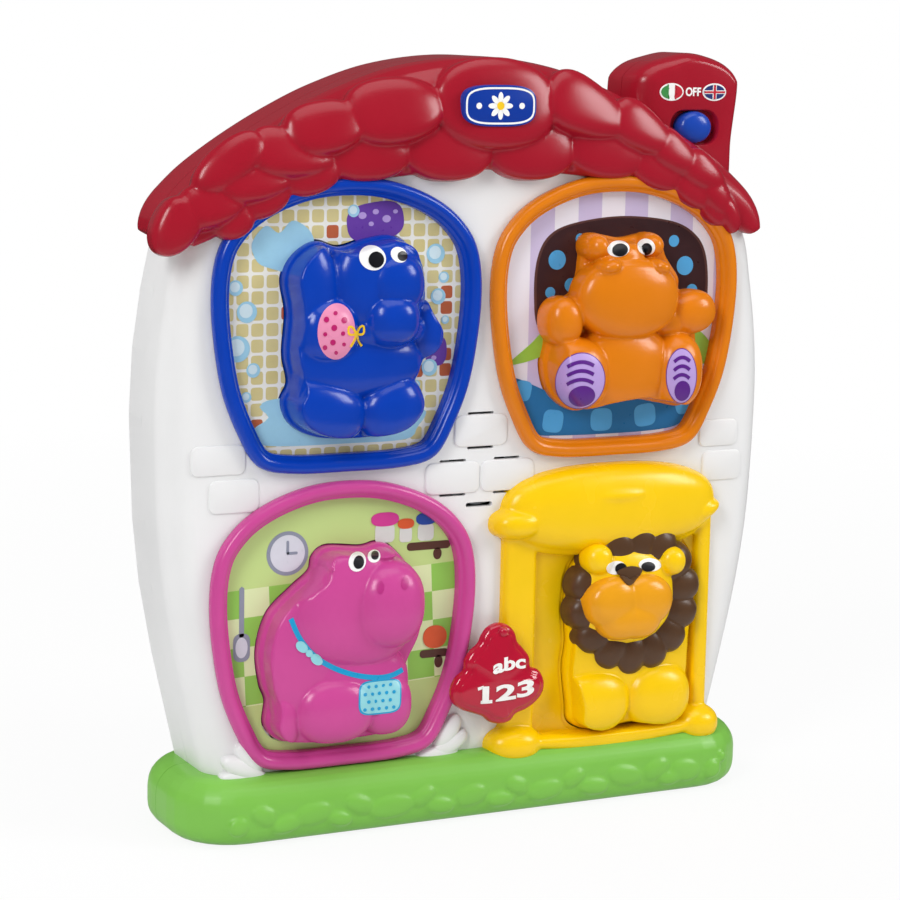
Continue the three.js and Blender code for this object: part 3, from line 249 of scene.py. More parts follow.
def spaced(points, count, closed=True):
    """Evenly spaced points on a polyline."""
    path = list(points) + ([points[0]] if closed else [])
    lengths = [0.0]
    for start, end in zip(path, path[1:]):
        lengths.append(lengths[-1] + (end - start).length)
    result = []
    section = 0
    for index in range(count):
        wanted = lengths[-1] * index / (count if closed else count - 1)
        while section < len(path) - 2 and lengths[section + 1] < wanted:
            section += 1
        span = max(lengths[section + 1] - lengths[section], 1e-9)
        result.append(path[section].lerp(path[section + 1], min((wanted - lengths[section]) / span, 1)))
    return result


def smooth_ring(points, count=160, closed=True):
    """Evenly spaced points on a smooth curve through the given ones."""
    knots = [Vector(point) for point in points]
    total = len(knots)
    dense = []
    for index in range(total if closed else total - 1):
        before, start, end, after = (
            knots[(index + shift) % total] if closed else knots[min(max(index + shift, 0), total - 1)]
            for shift in (-1, 0, 1, 2))
        for step in range(CURVE_STEPS):
            t = step / CURVE_STEPS
            dense.append(0.5 * (2 * start + (end - before) * t
                                + (2 * before - 5 * start + 4 * end - after) * t * t
                                + (3 * start - before - 3 * end + after) * t ** 3))
    if not closed:
        dense.append(knots[-1])
    return spaced(dense, count, closed)


def grown(outline, amount):
    """An anticlockwise outline moved outwards, or inwards by a negative amount."""
    total = len(outline)
    result = []
    for index, point in enumerate(outline):
        along = outline[(index + 1) % total] - outline[index - 1]
        along.normalize()
        result.append(point + Vector((along.y, -along.x)) * amount)
    return result


def towards(outline, share):
    """An outline drawn in towards its middle."""
    middle = sum(outline, Vector((0, 0))) / len(outline)
    return [middle + (point - middle) * share for point in outline]


def squarer(value, exponent):
    """A sine or cosine whose curve is squarer where the exponent is below 1."""
    return math.copysign(abs(value) ** exponent, value)


def oval(x, z, half_width, half_height, count=40, tilt=0, exponent=1):
    """An ellipse, or a squarer oval where the exponent is below 1."""
    turn = Matrix.Rotation(math.radians(tilt), 2)
    result = []
    for index in range(count):
        angle = 2 * math.pi * index / count
        point = Vector((squarer(math.cos(angle), exponent) * half_width,
                        squarer(math.sin(angle), exponent) * half_height))
        result.append(turn @ point + Vector((x, z)))
    return result


def rounded_box(left, right, bottom, top, radius, count=64):
    """A rectangle with round corners."""
    points = []
    for x, z, start in ((right, bottom, -90), (right, top, 0), (left, top, 90), (left, bottom, 180)):
        corner = Vector((x - math.copysign(radius, x - (left + right) / 2),
                         z - math.copysign(radius, z - (bottom + top) / 2)))
        for step in range(CORNER_STEPS + 1):
            angle = math.radians(start + 90 * step / CORNER_STEPS)
            points.append(corner + Vector((math.cos(angle), math.sin(angle))) * radius)
    return spaced(points, count)


def mirrored(half):
    """A closed outline from its right half, given from the bottom up."""
    left = [(-x, z) for x, z in reversed(half) if x > 0]
    return list(half) + left


def window_ring(x, sill, count=180):
    """The outline of a window frame."""
    points = [(x + u * WINDOW_WIDTH / 2, sill + v * WINDOW_HEIGHT) for u, v in mirrored(WINDOW_SHARES)]
    return smooth_ring(points, count)


def animal_ring(name, count=220):
    """The outline of an animal, seen from the front."""
    animal = ANIMALS[name]
    (x, z), (width, height) = animal["place"], animal["size"]
    return smooth_ring([(x + (u - 0.5) * width, z + (v - 0.5) * height) for u, v in animal["shares"]], count)


def at_depth(outline, depth):
    """An outline stood up at a depth of the house, in metres."""
    return [Vector((point.x, depth, point.y)) * MM for point in outline]


def sighted(x, z, depth):
    """A place read on the house's front plane, moved along the line of sight to another depth."""
    share = depth / (-EYE.y / MM)
    return x + share * (x - EYE.x / MM), z + share * (z - EYE.z / MM)


def quarter(radius, front, steps):
    """Levels of a rounded front edge: how far the outline is drawn in, and at which depth."""
    angles = [math.pi / 2 * step / steps for step in range(steps + 1)]
    return [(-radius * (1 - math.cos(angle)), front + radius * (1 - math.sin(angle))) for angle in angles]


# Meshes


def new_mesh():
    """An empty mesh whose points can be numbered."""
    made = bmesh.new()
    made.verts.layers.int.new("order")
    return made


def settled(name, bm):
    """The mesh of a finished shape."""
    mesh = bpy.data.meshes.new(name)
    bm.to_mesh(mesh)
    bm.free()
    return mesh


def placed(name, data):
    """An object of the scene that holds the given data."""
    obj = bpy.data.objects.new(name, data)
    bpy.context.scene.collection.objects.link(obj)
    return obj


def loft(bm, rows, closed=True):
    """Extrudes the first row of points onto each of the others. Returns the edges of both ends."""
    order = bm.verts.layers.int["order"]
    verts = []
    for index, point in enumerate(rows[0]):
        vert = bm.verts.new(point)
        vert[order] = index
        verts.append(vert)
    ends = verts[1:] + verts[:1] if closed else verts[1:]
    first = [bm.edges.new(pair) for pair in zip(verts, ends)]
    edges = first
    for row in rows[1:]:
        made = bmesh.ops.extrude_edge_only(bm, edges=edges)["geom"]
        fresh = {item for item in made if isinstance(item, bmesh.types.BMVert)}
        for vert in fresh:
            vert.co = row[vert[order]]
        edges = [item for item in made if isinstance(item, bmesh.types.BMEdge) and set(item.verts) <= fresh]
    return first, edges


def capped(bm, rows):
    """A loft with both of its ends closed."""
    for end in loft(bm, rows):
        bmesh.ops.edgeloop_fill(bm, edges=end)


def faced(bm, edges):
    """Fills a flat front up to the edges of its holes."""
    bmesh.ops.triangle_fill(bm, use_beauty=True, edges=edges, normal=(0, -1, 0))


def plate(bm, outline, levels):
    """A closed moulding whose outline is drawn in or out from level to level, from back to front."""
    capped(bm, [at_depth(grown(outline, grow) if grow else outline, depth) for grow, depth in levels])


def collar(bm, outline, levels):
    """A ring of the given section: its last level joins its first."""
    back, front = loft(bm, [at_depth(grown(outline, grow), depth) for grow, depth in levels])
    bmesh.ops.bridge_loops(bm, edges=back + front)


def lump(bm, x, z, half_width, half_height, root, front, tilt=0, flat=0.8, lean=0, plan=0.92, point=0):
    """A swelling that stands on a depth and reaches forward of it. A lower flat squares its front, and a
    point draws its right end to a nose."""
    verts = bmesh.ops.create_icosphere(bm, subdivisions=4, radius=1)["verts"]
    for vert in verts:
        across, deep, up = vert.co
        up *= 1 - point * (across + 0.2)
        vert.co = (squarer(across, plan), squarer(deep, flat), squarer(up, plan))
    size = Matrix.Diagonal((half_width * MM, (root - front) * MM, half_height * MM, 1))
    turn = Matrix.Rotation(math.radians(-tilt), 4, "Y") @ Matrix.Rotation(math.radians(lean), 4, "X")
    move = Matrix.Translation(Vector((x, root, z)) * MM)
    bmesh.ops.transform(bm, matrix=move @ turn @ size, verts=verts)


def kept_inside(verts, outline, edge, root, front):
    """Draws points inside an outline, whose edge rounds over between two depths."""
    tree = KDTree(len(outline))
    total = len(outline)
    outwards = []
    for index, point in enumerate(outline):
        tree.insert(Vector((point.x, 0, point.y)) * MM, index)
        along = (outline[(index + 1) % total] - outline[index - 1]).normalized()
        outwards.append(Vector((along.y, 0, -along.x)))
    tree.balance()
    for vert in verts:
        flat = Vector((vert.co.x, 0, vert.co.z))
        near, index, _ = tree.find(flat)
        rise = min(max((root * MM - vert.co.y) / ((root - front) * MM), 0), 1)
        inset = edge * MM * (1 - math.sqrt(1 - rise * rise))
        past = (flat - near).dot(outwards[index]) + inset
        if past > 0:
            vert.co -= outwards[index] * past


def modified(bm, kind, **settings):
    """What a modifier makes of a mesh."""
    mesh = settled("clay", bm)
    clay = placed("clay", mesh)
    modifier = clay.modifiers.new("Shape", kind)
    for name, value in settings.items():
        setattr(modifier, name, value)
    evaluated = clay.evaluated_get(bpy.context.evaluated_depsgraph_get())
    skin = bpy.data.meshes.new_from_object(evaluated)
    result = new_mesh()
    result.from_mesh(skin)
    bpy.data.objects.remove(clay)
    bpy.data.meshes.remove(mesh)
    bpy.data.meshes.remove(skin)
    return result


def sculpted(bm, grain, rounds):
    """One relaxed skin round all the lumps of a mesh."""
    result = modified(bm, "REMESH", mode="VOXEL", voxel_size=grain)
    for _ in range(rounds):
        bmesh.ops.smooth_vert(result, verts=result.verts, factor=0.5, use_axis_x=True, use_axis_y=True,
                              use_axis_z=True)
    return result


def cut(bm, depth, side):
    """Takes away what lies past a depth, on its back side or, for -1, its front side, and closes the cut."""
    geometry = bm.verts[:] + bm.edges[:] + bm.faces[:]
    outwards = (0, side, 0)
    made = bmesh.ops.bisect_plane(bm, geom=geometry, plane_co=Vector((0, depth, 0)) * MM, plane_no=outwards,
                                  clear_outer=True)["geom_cut"]
    edges = [item for item in made if isinstance(item, bmesh.types.BMEdge)]
    if edges:
        bmesh.ops.triangle_fill(bm, use_beauty=True, edges=edges, normal=outwards)


def joined(*parts):
    """One mesh of several."""
    whole = new_mesh()
    for part in parts:
        mesh = settled("part", part)
        whole.from_mesh(mesh)
        bpy.data.meshes.remove(mesh)
    return whole


def piece(name, bm, material, body="house", stands_for=(), crease=38):
    """A finished piece that rides on a body of the solid model."""
    bmesh.ops.remove_doubles(bm, verts=bm.verts, dist=WELD_DISTANCE)
    bmesh.ops.dissolve_degenerate(bm, edges=bm.edges, dist=WELD_DISTANCE / 2)
    bmesh.ops.recalc_face_normals(bm, faces=bm.faces)
    for face in bm.faces:
        face.smooth = True
    for edge in bm.edges:
        if edge.is_manifold and edge.calc_face_angle(0) > math.radians(crease):
            edge.smooth = False
    mesh = settled(name, bm)
    mesh.materials.append(material)
    obj = placed(name, mesh)
    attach(obj, body)
    if stands_for:
        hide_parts(*stands_for)
    return obj


def halved(whole, names, nodes, material):
    """Parts a sculpted moulding at the seam of the house, into its front half and its back half."""
    mesh = settled("whole", whole)
    for name, stood_for, depth, side in zip(names, nodes, (SEAM_DEPTH, SEAM_DEPTH + SEAM_GAP), (1, -1)):
        half = new_mesh()
        half.from_mesh(mesh)
        cut(half, depth, side)
        piece(name, half, material, stands_for=(stood_for,), crease=60)
    bpy.data.meshes.remove(mesh)


def surface_of(*objects):
    """A tree of the faces of finished pieces, for prints to lie on."""
    whole = bmesh.new()
    for obj in objects:
        whole.from_mesh(obj.data)
    tree = BVHTree.FromBMesh(whole)
    whole.free()
    return tree


def stuck(surface, point, lift):
    """Where the line of sight through a place on the front plane meets a surface, and a little above."""
    target = Vector((point.x, 0, point.y)) * MM
    ray = (target - EYE).normalized()
    place, normal, _, _ = surface.ray_cast(EYE, ray)
    if place is None:
        place, normal, _, _ = surface.find_nearest(target)
    if normal.dot(ray) > 0:
        normal = -normal
    return place + normal * lift


def patch(bm, surface, outline, layer=1, rings=7):
    """A thin print of a rounded outline that follows the surface under it."""
    lift = sizes().print_lift * layer
    skin = new_mesh()
    shares = [1 - step / rings for step in range(rings)] + [0.02]
    rows = [[stuck(surface, point, lift) for point in towards(outline, share)] for share in shares]
    _, inner = loft(skin, rows)
    bmesh.ops.edgeloop_fill(skin, edges=inner)
    lay(bm, skin, 2 * lift)


def ribbon(bm, surface, points, width, layer=1, count=40):
    """A thin printed line of a given width that follows the surface under it."""
    lift = sizes().print_lift * layer
    path = smooth_ring(points, count, closed=False)
    rows = []
    for index, point in enumerate(path):
        along = (path[min(index + 1, count - 1)] - path[max(index - 1, 0)]).normalized()
        side = Vector((along.y, -along.x)) * width / 2
        rows.append([stuck(surface, point + side * share, lift) for share in (-1, -0.5, 0, 0.5, 1)])
    skin = new_mesh()
    loft(skin, rows, closed=False)
    lay(bm, skin, 2 * lift)


def lay(bm, skin, depth):
    """Adds a print's skin to a mesh, with a little thickness down into the moulding."""
    bmesh.ops.recalc_face_normals(skin, faces=skin.faces)
    toward = sum((face.normal.dot(EYE - face.calc_center_median()) for face in skin.faces), 0.0)
    if toward < 0:
        bmesh.ops.reverse_faces(skin, faces=skin.faces)
    made = bmesh.ops.extrude_face_region(skin, geom=skin.faces[:], use_keep_orig=True)["geom"]
    under = {item for item in made if isinstance(item, bmesh.types.BMFace)}
    verts = [item for item in made if isinstance(item, bmesh.types.BMVert)]
    downs = [sum((face.normal for face in vert.link_faces if face in under), Vector()) for vert in verts]
    cancelled = 0.01
    for vert, down in zip(verts, downs):
        # Where an outline turns back on itself the normals cancel, and the vertex stays.
        if down.length > cancelled:
            vert.co -= down.normalized() * depth
    mesh = settled("print", skin)
    bm.from_mesh(mesh)
    bpy.data.meshes.remove(mesh)


def lettered(bm, surface, words, x, z, height, width, layer=1, rise=0, bend=0):
    """Printed letters that follow the surface under them, on a line that climbs and bends."""
    lift = sizes().print_lift * layer
    curve = bpy.data.curves.new("letters", "FONT")
    curve.body = words
    curve.align_x = "CENTER"
    curve.align_y = "CENTER"
    curve.offset = 0.03
    holder = placed("letters", curve)
    evaluated = holder.evaluated_get(bpy.context.evaluated_depsgraph_get())
    mesh = bpy.data.meshes.new_from_object(evaluated)
    skin = new_mesh()
    skin.from_mesh(mesh)
    bpy.data.objects.remove(holder)
    bpy.data.curves.remove(curve)
    bpy.data.meshes.remove(mesh)
    low = min(vert.co.y for vert in skin.verts)
    high = max(vert.co.y for vert in skin.verts)
    scale = height / (high - low)
    reach = max(abs(vert.co.x) for vert in skin.verts)
    bmesh.ops.remove_doubles(skin, verts=skin.verts, dist=0.0005)
    bmesh.ops.subdivide_edges(skin, edges=[e for e in skin.edges if e.calc_length() > 0.2], cuts=2)
    bmesh.ops.triangulate(skin, faces=skin.faces)
    for vert in skin.verts:
        share = vert.co.x / reach
        up = (vert.co.y - (low + high) / 2) * scale + share * rise - share * share * bend
        vert.co = stuck(surface, Vector((x + share * width / 2, z + up)), lift)
    lay(bm, skin, 2 * lift)


def printed(name, colour, surface, marks, body="house"):
    """A print in one ink. A mark is the function that makes it and what the function is given."""
    bm = new_mesh()
    for mark, *details in marks:
        mark(bm, surface, *details)
    piece(name, bm, ink(colour), body=body)


# Materials


def node(tree, kind, inputs=None, **settings):
    """Adds a node with its settings. An input is given a value, or the socket that it reads."""
    made = tree.nodes.new(kind)
    for name, value in settings.items():
        setattr(made, name, value)
    for key, value in (inputs or {}).items():
        if isinstance(value, bpy.types.NodeSocket):
            tree.links.new(value, made.inputs[key])
        else:
            made.inputs[key].default_value = value
    return made


def fresh_material(name):
    """A material of a name and, where it is new, its empty tree of nodes."""
    material = bpy.data.materials.get(name)
    if material:
        return material, None
    material = bpy.data.materials.new(name)
    material.use_nodes = True
    material.node_tree.nodes.clear()
    return material, material.node_tree


def opaque(hex_colour):
    """A colour of a node, from its sRGB hex value."""
    return linear(hex_colour) + (1,)


def shade(colour, factor):
    """A colour of a node, made darker or lighter."""
    return tuple(min(channel * factor, 1) for channel in colour) + (1,)


def moulded(name, colour, roughness, cloud=14.0, peel=0.7, peel_strength=0.05, **shader):
    """Injection-moulded plastic: an even colour with a faint cloud from the flow of the melt, a gloss
    that wanders a little, and the fine ripple that a polished mould leaves. Cloud and ripple are the
    width of a spot in millimetres."""
    material, tree = fresh_material(name)
    if tree is None:
        return material
    place = node(tree, "ShaderNodeTexCoord").outputs["Object"]
    flow = node(tree, "ShaderNodeTexNoise", {"Vector": place, "Scale": 1 / (cloud * MM), "Detail": 2.0})
    tint = node(tree, "ShaderNodeMix", {0: flow.outputs[0], 6: shade(colour, 0.96), 7: shade(colour, 1.04)},
                data_type="RGBA")
    gloss = node(tree, "ShaderNodeMapRange", {"Value": flow.outputs[0], "To Min": roughness * 0.8,
                                              "To Max": roughness * 1.2})
    ripple = node(tree, "ShaderNodeTexNoise", {"Vector": place, "Scale": 1 / (peel * MM), "Detail": 1.0})
    bump = node(tree, "ShaderNodeBump", {"Height": ripple.outputs[0], "Strength": peel_strength,
                                         "Distance": 0.05 * MM})
    sockets = {"Base Color": tint.outputs[2], "Roughness": gloss.outputs[0], "Normal": bump.outputs[0],
               "IOR": 1.53, "Specular IOR Level": 0.4}
    sockets.update(shader)
    principled = node(tree, "ShaderNodeBsdfPrincipled", sockets)
    node(tree, "ShaderNodeOutputMaterial", {"Surface": principled.outputs[0]})
    return material


def sizes():
    """The sizes that the panel shows."""
    return bpy.context.scene.shape_sorter_sizes


# The plastic of each moulding: its name, its roughness, and what else differs from plain moulded ABS
PLASTICS = {
    # Satin ABS: pale and clean, with a broad soft gloss
    "shell": ("satin moulded ABS white", 0.34, {"cloud": 30}),
    # Gloss ABS: a deep colour with clear, soft-edged reflections
    "roof": ("gloss moulded ABS red", 0.24, {"cloud": 18}),
    # Gloss ABS from the best polished mould: it looks wet where a lamp meets a rounded edge
    "blue": ("gloss moulded ABS blue", 0.2, {}),
    # Gloss ABS: reflections a little wider than on the blue
    "orange": ("gloss moulded ABS orange", 0.24, {}),
    "pink": ("gloss moulded ABS pink", 0.24, {}),
    # Gloss ABS, the softest of the gloss ones: a warm sheen along the posts and the awning
    "door": ("gloss moulded ABS yellow", 0.26, {}),
    # Satin ABS: a soft gloss that shows the leaves without mirroring the lamps
    "base": ("satin moulded ABS green", 0.36, {"cloud": 22}),
    # Satin PP: softer in gloss than the ABS round it
    "mane": ("satin moulded PP brown", 0.33, {}),
    # Gloss ABS: small bright reflections on the cheeks
    "muzzle": ("gloss moulded ABS amber", 0.22, {}),
    # Gloss POM, as used for knobs that slide: an even, slightly waxy shine
    "knob": ("gloss moulded POM blue", 0.22, {}),
    # Tinted clear polycarbonate: light goes some way in, and a hard shine lies on top
    "button": ("tinted clear polycarbonate red", 0.12,
               {"Transmission Weight": 0.22, "Coat Weight": 0.5, "Coat Roughness": 0.05}),
}

INKS = {
    "white": "#F2F2F0", "black": "#15151A", "sky": "#9FD0E6", "pale sky": "#D3E8EE", "violet": "#6B3FA4",
    "lilac": "#B79BDA", "dark brown": "#3B2326", "brown": "#5A3A36", "light blue": "#4FA4DC",
    "leaf green": "#96C548", "deep blue": "#2470A8", "shelf brown": "#5B3A30", "pale grey": "#D8DCD6",
    "magenta": "#D23C94", "orange red": "#DB5B2E", "royal blue": "#2A4FA8", "steel grey": "#8E95A6",
    "light grey": "#D5D9E2", "sun yellow": "#F4C81E", "flag green": "#3F8F4A", "flag navy": "#27366F",
    "flag red": "#C02234", "rose": "#E58CB0", "crimson rose": "#B81767", "plum": "#5A1F86",
    "deep pink": "#B72E80", "cyan blue": "#169BCF", "pale aqua": "#8FD3DC",
}


def plastic(part):
    """The plastic of a moulding, in the colour that the panel shows."""
    name, roughness, differences = PLASTICS[part]
    colour = getattr(bpy.context.scene.shape_sorter_colours, part)
    return moulded(name, tuple(colour), roughness, **differences)


def ink(name):
    """Pad-printed ink: a flat, dense colour with a slight unevenness at 3 mm."""
    return moulded(f"pad printed ink {name}", linear(INKS[name]), 0.3, cloud=3, peel_strength=0.02)


def dress(material, *names):
    """Gives nodes of the solid model a finish."""
    for name in names:
        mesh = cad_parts[name].data
        mesh.materials.clear()
        mesh.materials.append(material)


def laminated(pattern):
    """Printed card under a clear film: flat inks with an even, soft gloss over all of them. The pattern is
    worked out from a size in millimetres."""
    material, tree = fresh_material(f"laminated printed card {pattern.__name__}")
    if tree:
        colour = pattern(tree, node(tree, "ShaderNodeTexCoord").outputs["Object"])
        film = node(tree, "ShaderNodeBsdfPrincipled", {"Base Color": colour, "Roughness": 0.32, "IOR": 1.5})
        node(tree, "ShaderNodeOutputMaterial", {"Surface": film.outputs[0]})
    return material


def tiles(tree, place):
    """Rounded cream tiles of 5.4 mm on a pitch of 6.6 mm, a few of them rust."""
    scaled = node(tree, "ShaderNodeVectorMath", {0: place, 1: (1 / (6.6 * MM),) * 3}, operation="MULTIPLY")
    cell = node(tree, "ShaderNodeVectorMath", {0: scaled.outputs[0]}, operation="FLOOR")
    inside = node(tree, "ShaderNodeVectorMath", {0: scaled.outputs[0]}, operation="FRACTION")
    centred = node(tree, "ShaderNodeVectorMath", {0: inside.outputs[0], 1: (0.5, 0.5, 0.5)},
                   operation="SUBTRACT")
    size = node(tree, "ShaderNodeVectorMath", {0: centred.outputs[0]}, operation="ABSOLUTE")
    parts = node(tree, "ShaderNodeSeparateXYZ", {0: size.outputs[0]})
    across = node(tree, "ShaderNodeMath", {0: parts.outputs[0], 1: 5.0}, operation="POWER")
    up = node(tree, "ShaderNodeMath", {0: parts.outputs[2], 1: 5.0}, operation="POWER")
    both = node(tree, "ShaderNodeMath", {0: across.outputs[0], 1: up.outputs[0]}, operation="ADD")
    tile = node(tree, "ShaderNodeMath", {0: both.outputs[0], 1: 0.41 ** 5}, operation="LESS_THAN")
    flat = node(tree, "ShaderNodeVectorMath", {0: cell.outputs[0], 1: (1, 0, 1)}, operation="MULTIPLY")
    dice = node(tree, "ShaderNodeTexWhiteNoise", {"Vector": flat.outputs[0]}, noise_dimensions="3D")
    rare = node(tree, "ShaderNodeMath", {0: dice.outputs[0], 1: 0.93}, operation="GREATER_THAN")
    cloud = node(tree, "ShaderNodeTexNoise", {"Vector": place, "Scale": 1 / (9 * MM)})
    cream = node(tree, "ShaderNodeMix", {0: cloud.outputs[0], 6: opaque("#D3C27E"), 7: opaque("#DED29C")},
                 data_type="RGBA")
    glaze = node(tree, "ShaderNodeMix", {0: rare.outputs[0], 6: cream.outputs[2], 7: opaque("#C2623C")},
                 data_type="RGBA")
    colour = node(tree, "ShaderNodeMix", {0: tile.outputs[0], 6: opaque("#F1EFE6"), 7: glaze.outputs[2]},
                  data_type="RGBA")
    return colour.outputs[2]


def stripes(tree, place):
    """Upright stripes of lilac and near white, each 11.5 mm wide."""
    parts = node(tree, "ShaderNodeSeparateXYZ", {0: place})
    scaled = node(tree, "ShaderNodeMath", {0: parts.outputs[0], 1: 1 / (23 * MM)}, operation="MULTIPLY")
    inside = node(tree, "ShaderNodeMath", {0: scaled.outputs[0]}, operation="FRACT")
    stripe = node(tree, "ShaderNodeMath", {0: inside.outputs[0], 1: 0.5}, operation="LESS_THAN")
    cloud = node(tree, "ShaderNodeTexNoise", {"Vector": place, "Scale": 1 / (20 * MM)})
    lilac = node(tree, "ShaderNodeMix", {0: cloud.outputs[0], 6: opaque("#C3B6DC"), 7: opaque("#CDC3E2")},
                 data_type="RGBA")
    colour = node(tree, "ShaderNodeMix", {0: stripe.outputs[0], 6: opaque("#E7E5EF"), 7: lilac.outputs[2]},
                  data_type="RGBA")
    return colour.outputs[2]


def checks(tree, place):
    """A plain light green wall above and below a band of checks 12.5 mm wide."""
    turned = node(tree, "ShaderNodeMapping", {"Vector": place, "Rotation": (0, math.radians(3), 0),
                                              "Location": (0.003, 0.5, 0.0)})
    squares = node(tree, "ShaderNodeTexChecker", {"Vector": turned.outputs[0], "Scale": 1 / (12.5 * MM),
                                                  "Color1": opaque("#92CC55"), "Color2": opaque("#DCEBB2")})
    parts = node(tree, "ShaderNodeSeparateXYZ", {0: turned.outputs[0]})
    above = node(tree, "ShaderNodeMath", {0: parts.outputs[2], 1: 112 * MM}, operation="LESS_THAN")
    below = node(tree, "ShaderNodeMath", {0: parts.outputs[2], 1: 62 * MM}, operation="GREATER_THAN")
    band = node(tree, "ShaderNodeMath", {0: above.outputs[0], 1: below.outputs[0]}, operation="MULTIPLY")
    colour = node(tree, "ShaderNodeMix", {0: band.outputs[0], 6: opaque("#C2DC8A"), 7: squares.outputs[0]},
                  data_type="RGBA")
    return colour.outputs[2]


WINDOWS = {
    "blue": (-COLUMN_X, UPPER_SILL, "elephant"),
    "orange": (COLUMN_X, UPPER_SILL, "sitting_hippo"),
    "pink": (-COLUMN_X, LOWER_SILL, "standing_hippo"),
}


class SHAPESORTER_OT_house(bpy.types.Operator):
    """Builds the front half of the white house with its openings, bricks, leaves and speaker slots"""

    bl_idname = "shape_sorter.house"
    bl_label = "House Shell"

    def execute(self, context):
        outline = smooth_ring(mirrored(HOUSE_HALF), 240)
        # Under the roof the shell is lower where the pocket of the switch comes down.
        roof_foot, dip_x, dip_reach, dip = 250, 98, 16, 4.5
        for point in outline:
            if point.y > roof_foot:
                point.y -= dip * min(2 * max(1 - abs(point.x - dip_x) / dip_reach, 0), 1)
        bm = new_mesh()
        levels = [(0, SEAM_DEPTH)] + quarter(SHELL_EDGE, 0, 9)
        _, rim = loft(bm, [at_depth(grown(outline, grow), depth) for grow, depth in levels])
        edges = list(rim)

        holes = [grown(window_ring(x, sill), -OPENING_INSET) for x, sill, _ in WINDOWS.values()]
        holes.append(rounded_box(24, 108.6, LOWER_SILL, 125.6, 2))
        slot_reach, slot_half = 6.4, 0.55
        for x, z in ((0, 175.6), (0, 160.7), (-12.9, 155.6), (12.9, 155.6), (-12.9, 140.8), (12.9, 140.8)):
            holes.append(rounded_box(x - slot_reach, x + slot_reach, z - slot_half, z + slot_half, 0.5, 32))
        holes.append(rounded_box(-slot_reach, slot_reach, 135, 137, 0.9, 32))
        for hole in holes:
            edges += loft(bm, [at_depth(hole, 0)])[0]
        faced(bm, edges)
        bmesh.ops.recalc_face_normals(bm, faces=bm.faces)
        if sum(face.normal.y * face.calc_area() for face in bm.faces) > 0:
            bmesh.ops.reverse_faces(bm, faces=bm.faces)
        bm = modified(bm, "SOLIDIFY", thickness=SHELL_WALL * MM, offset=-1)

        relief = -sizes().brick_relief / MM
        for left, right, bottom, top in (
                (-12.6, 12.6, 161.4, 175), (-26, -0.4, 141.4, 155), (0.4, 26, 141.4, 155),
                (-132, -108, 155.5, 168), (-124, -102, 139.5, 153.5), (109, 129, 155, 167),
                (111, 131, 139.5, 153)):
            plate(bm, rounded_box(left, right, bottom, top, 3.2),
                  [(0, 0.4), (0, relief * 0.3), (-0.25, relief * 0.75), (-0.8, relief)])
        for x, z, wide, high, tilt in (
                (-12.6, 36.4, 9, 4.4, 52), (-12.2, 30.6, 10.5, 4.6, 30), (-18, 26.6, 11, 4.2, 10),
                (-105, 34.4, 8.5, 4.4, -54), (-107, 29.6, 11, 4.6, -30), (-106, 25.4, 12, 4.2, -8)):
            lump(bm, *sighted(x, z, -2), wide, high, 0.6, -4.2, tilt, flat=0.6)
        piece("front_housing_shell", bm, plastic("shell"), stands_for=("front_housing",),
              crease=30)
        dress(plastic("shell"), "back_housing", "battery_tray", "battery_door", "blue_piece_tray",
              "orange_piece_tray", "pink_piece_tray")
        return {"FINISHED"}


class SHAPESORTER_OT_frames(bpy.types.Operator):
    """Builds the three window frames: a round bead with a lower lip towards the card"""

    bl_idname = "shape_sorter.frames"
    bl_label = "Window Frames"

    def execute(self, context):
        behind = CARD_FRONT - 0.3
        section = [
            (0, -0.3), (0.2, -1.4), (0.15, -2.8), (-0.3, -4.2), (-1.1, -5.1), (-2.2, -5.6), (-3.3, -5.6),
            (-4.4, -5.2), (-5.2, -4.5), (-5.7, -3.8), (-6.0, -3.3), (-6.6, -3.05), (-7.2, -2.5), (-7.4, -1.6),
            (-7.4, behind), (-5, behind), (-5, -0.3),
        ]
        for name, (x, sill, _) in WINDOWS.items():
            bm = new_mesh()
            collar(bm, window_ring(x, sill), section)
            piece(f"{name}_window_bezel", bm, plastic(name),
                  stands_for=(f"{name}_window_frame",), crease=50)
        return {"FINISHED"}


def card(name, material):
    """A picture card with the hole that its animal goes through."""
    x, sill, animal = WINDOWS[name]
    bm = new_mesh()
    faces = {CARD_FRONT: [], CARD_FRONT + CARD_THICKNESS: []}
    for outline in (grown(window_ring(x, sill), -CARD_INSET), grown(animal_ring(animal), ANIMAL_PLAY)):
        for edges, depth in zip(loft(bm, [at_depth(outline, depth) for depth in faces]), faces):
            faces[depth] += edges
    for edges in faces.values():
        faced(bm, edges)
    piece(f"{name}_card", bm, material, stands_for=(f"{name}_picture_card",))


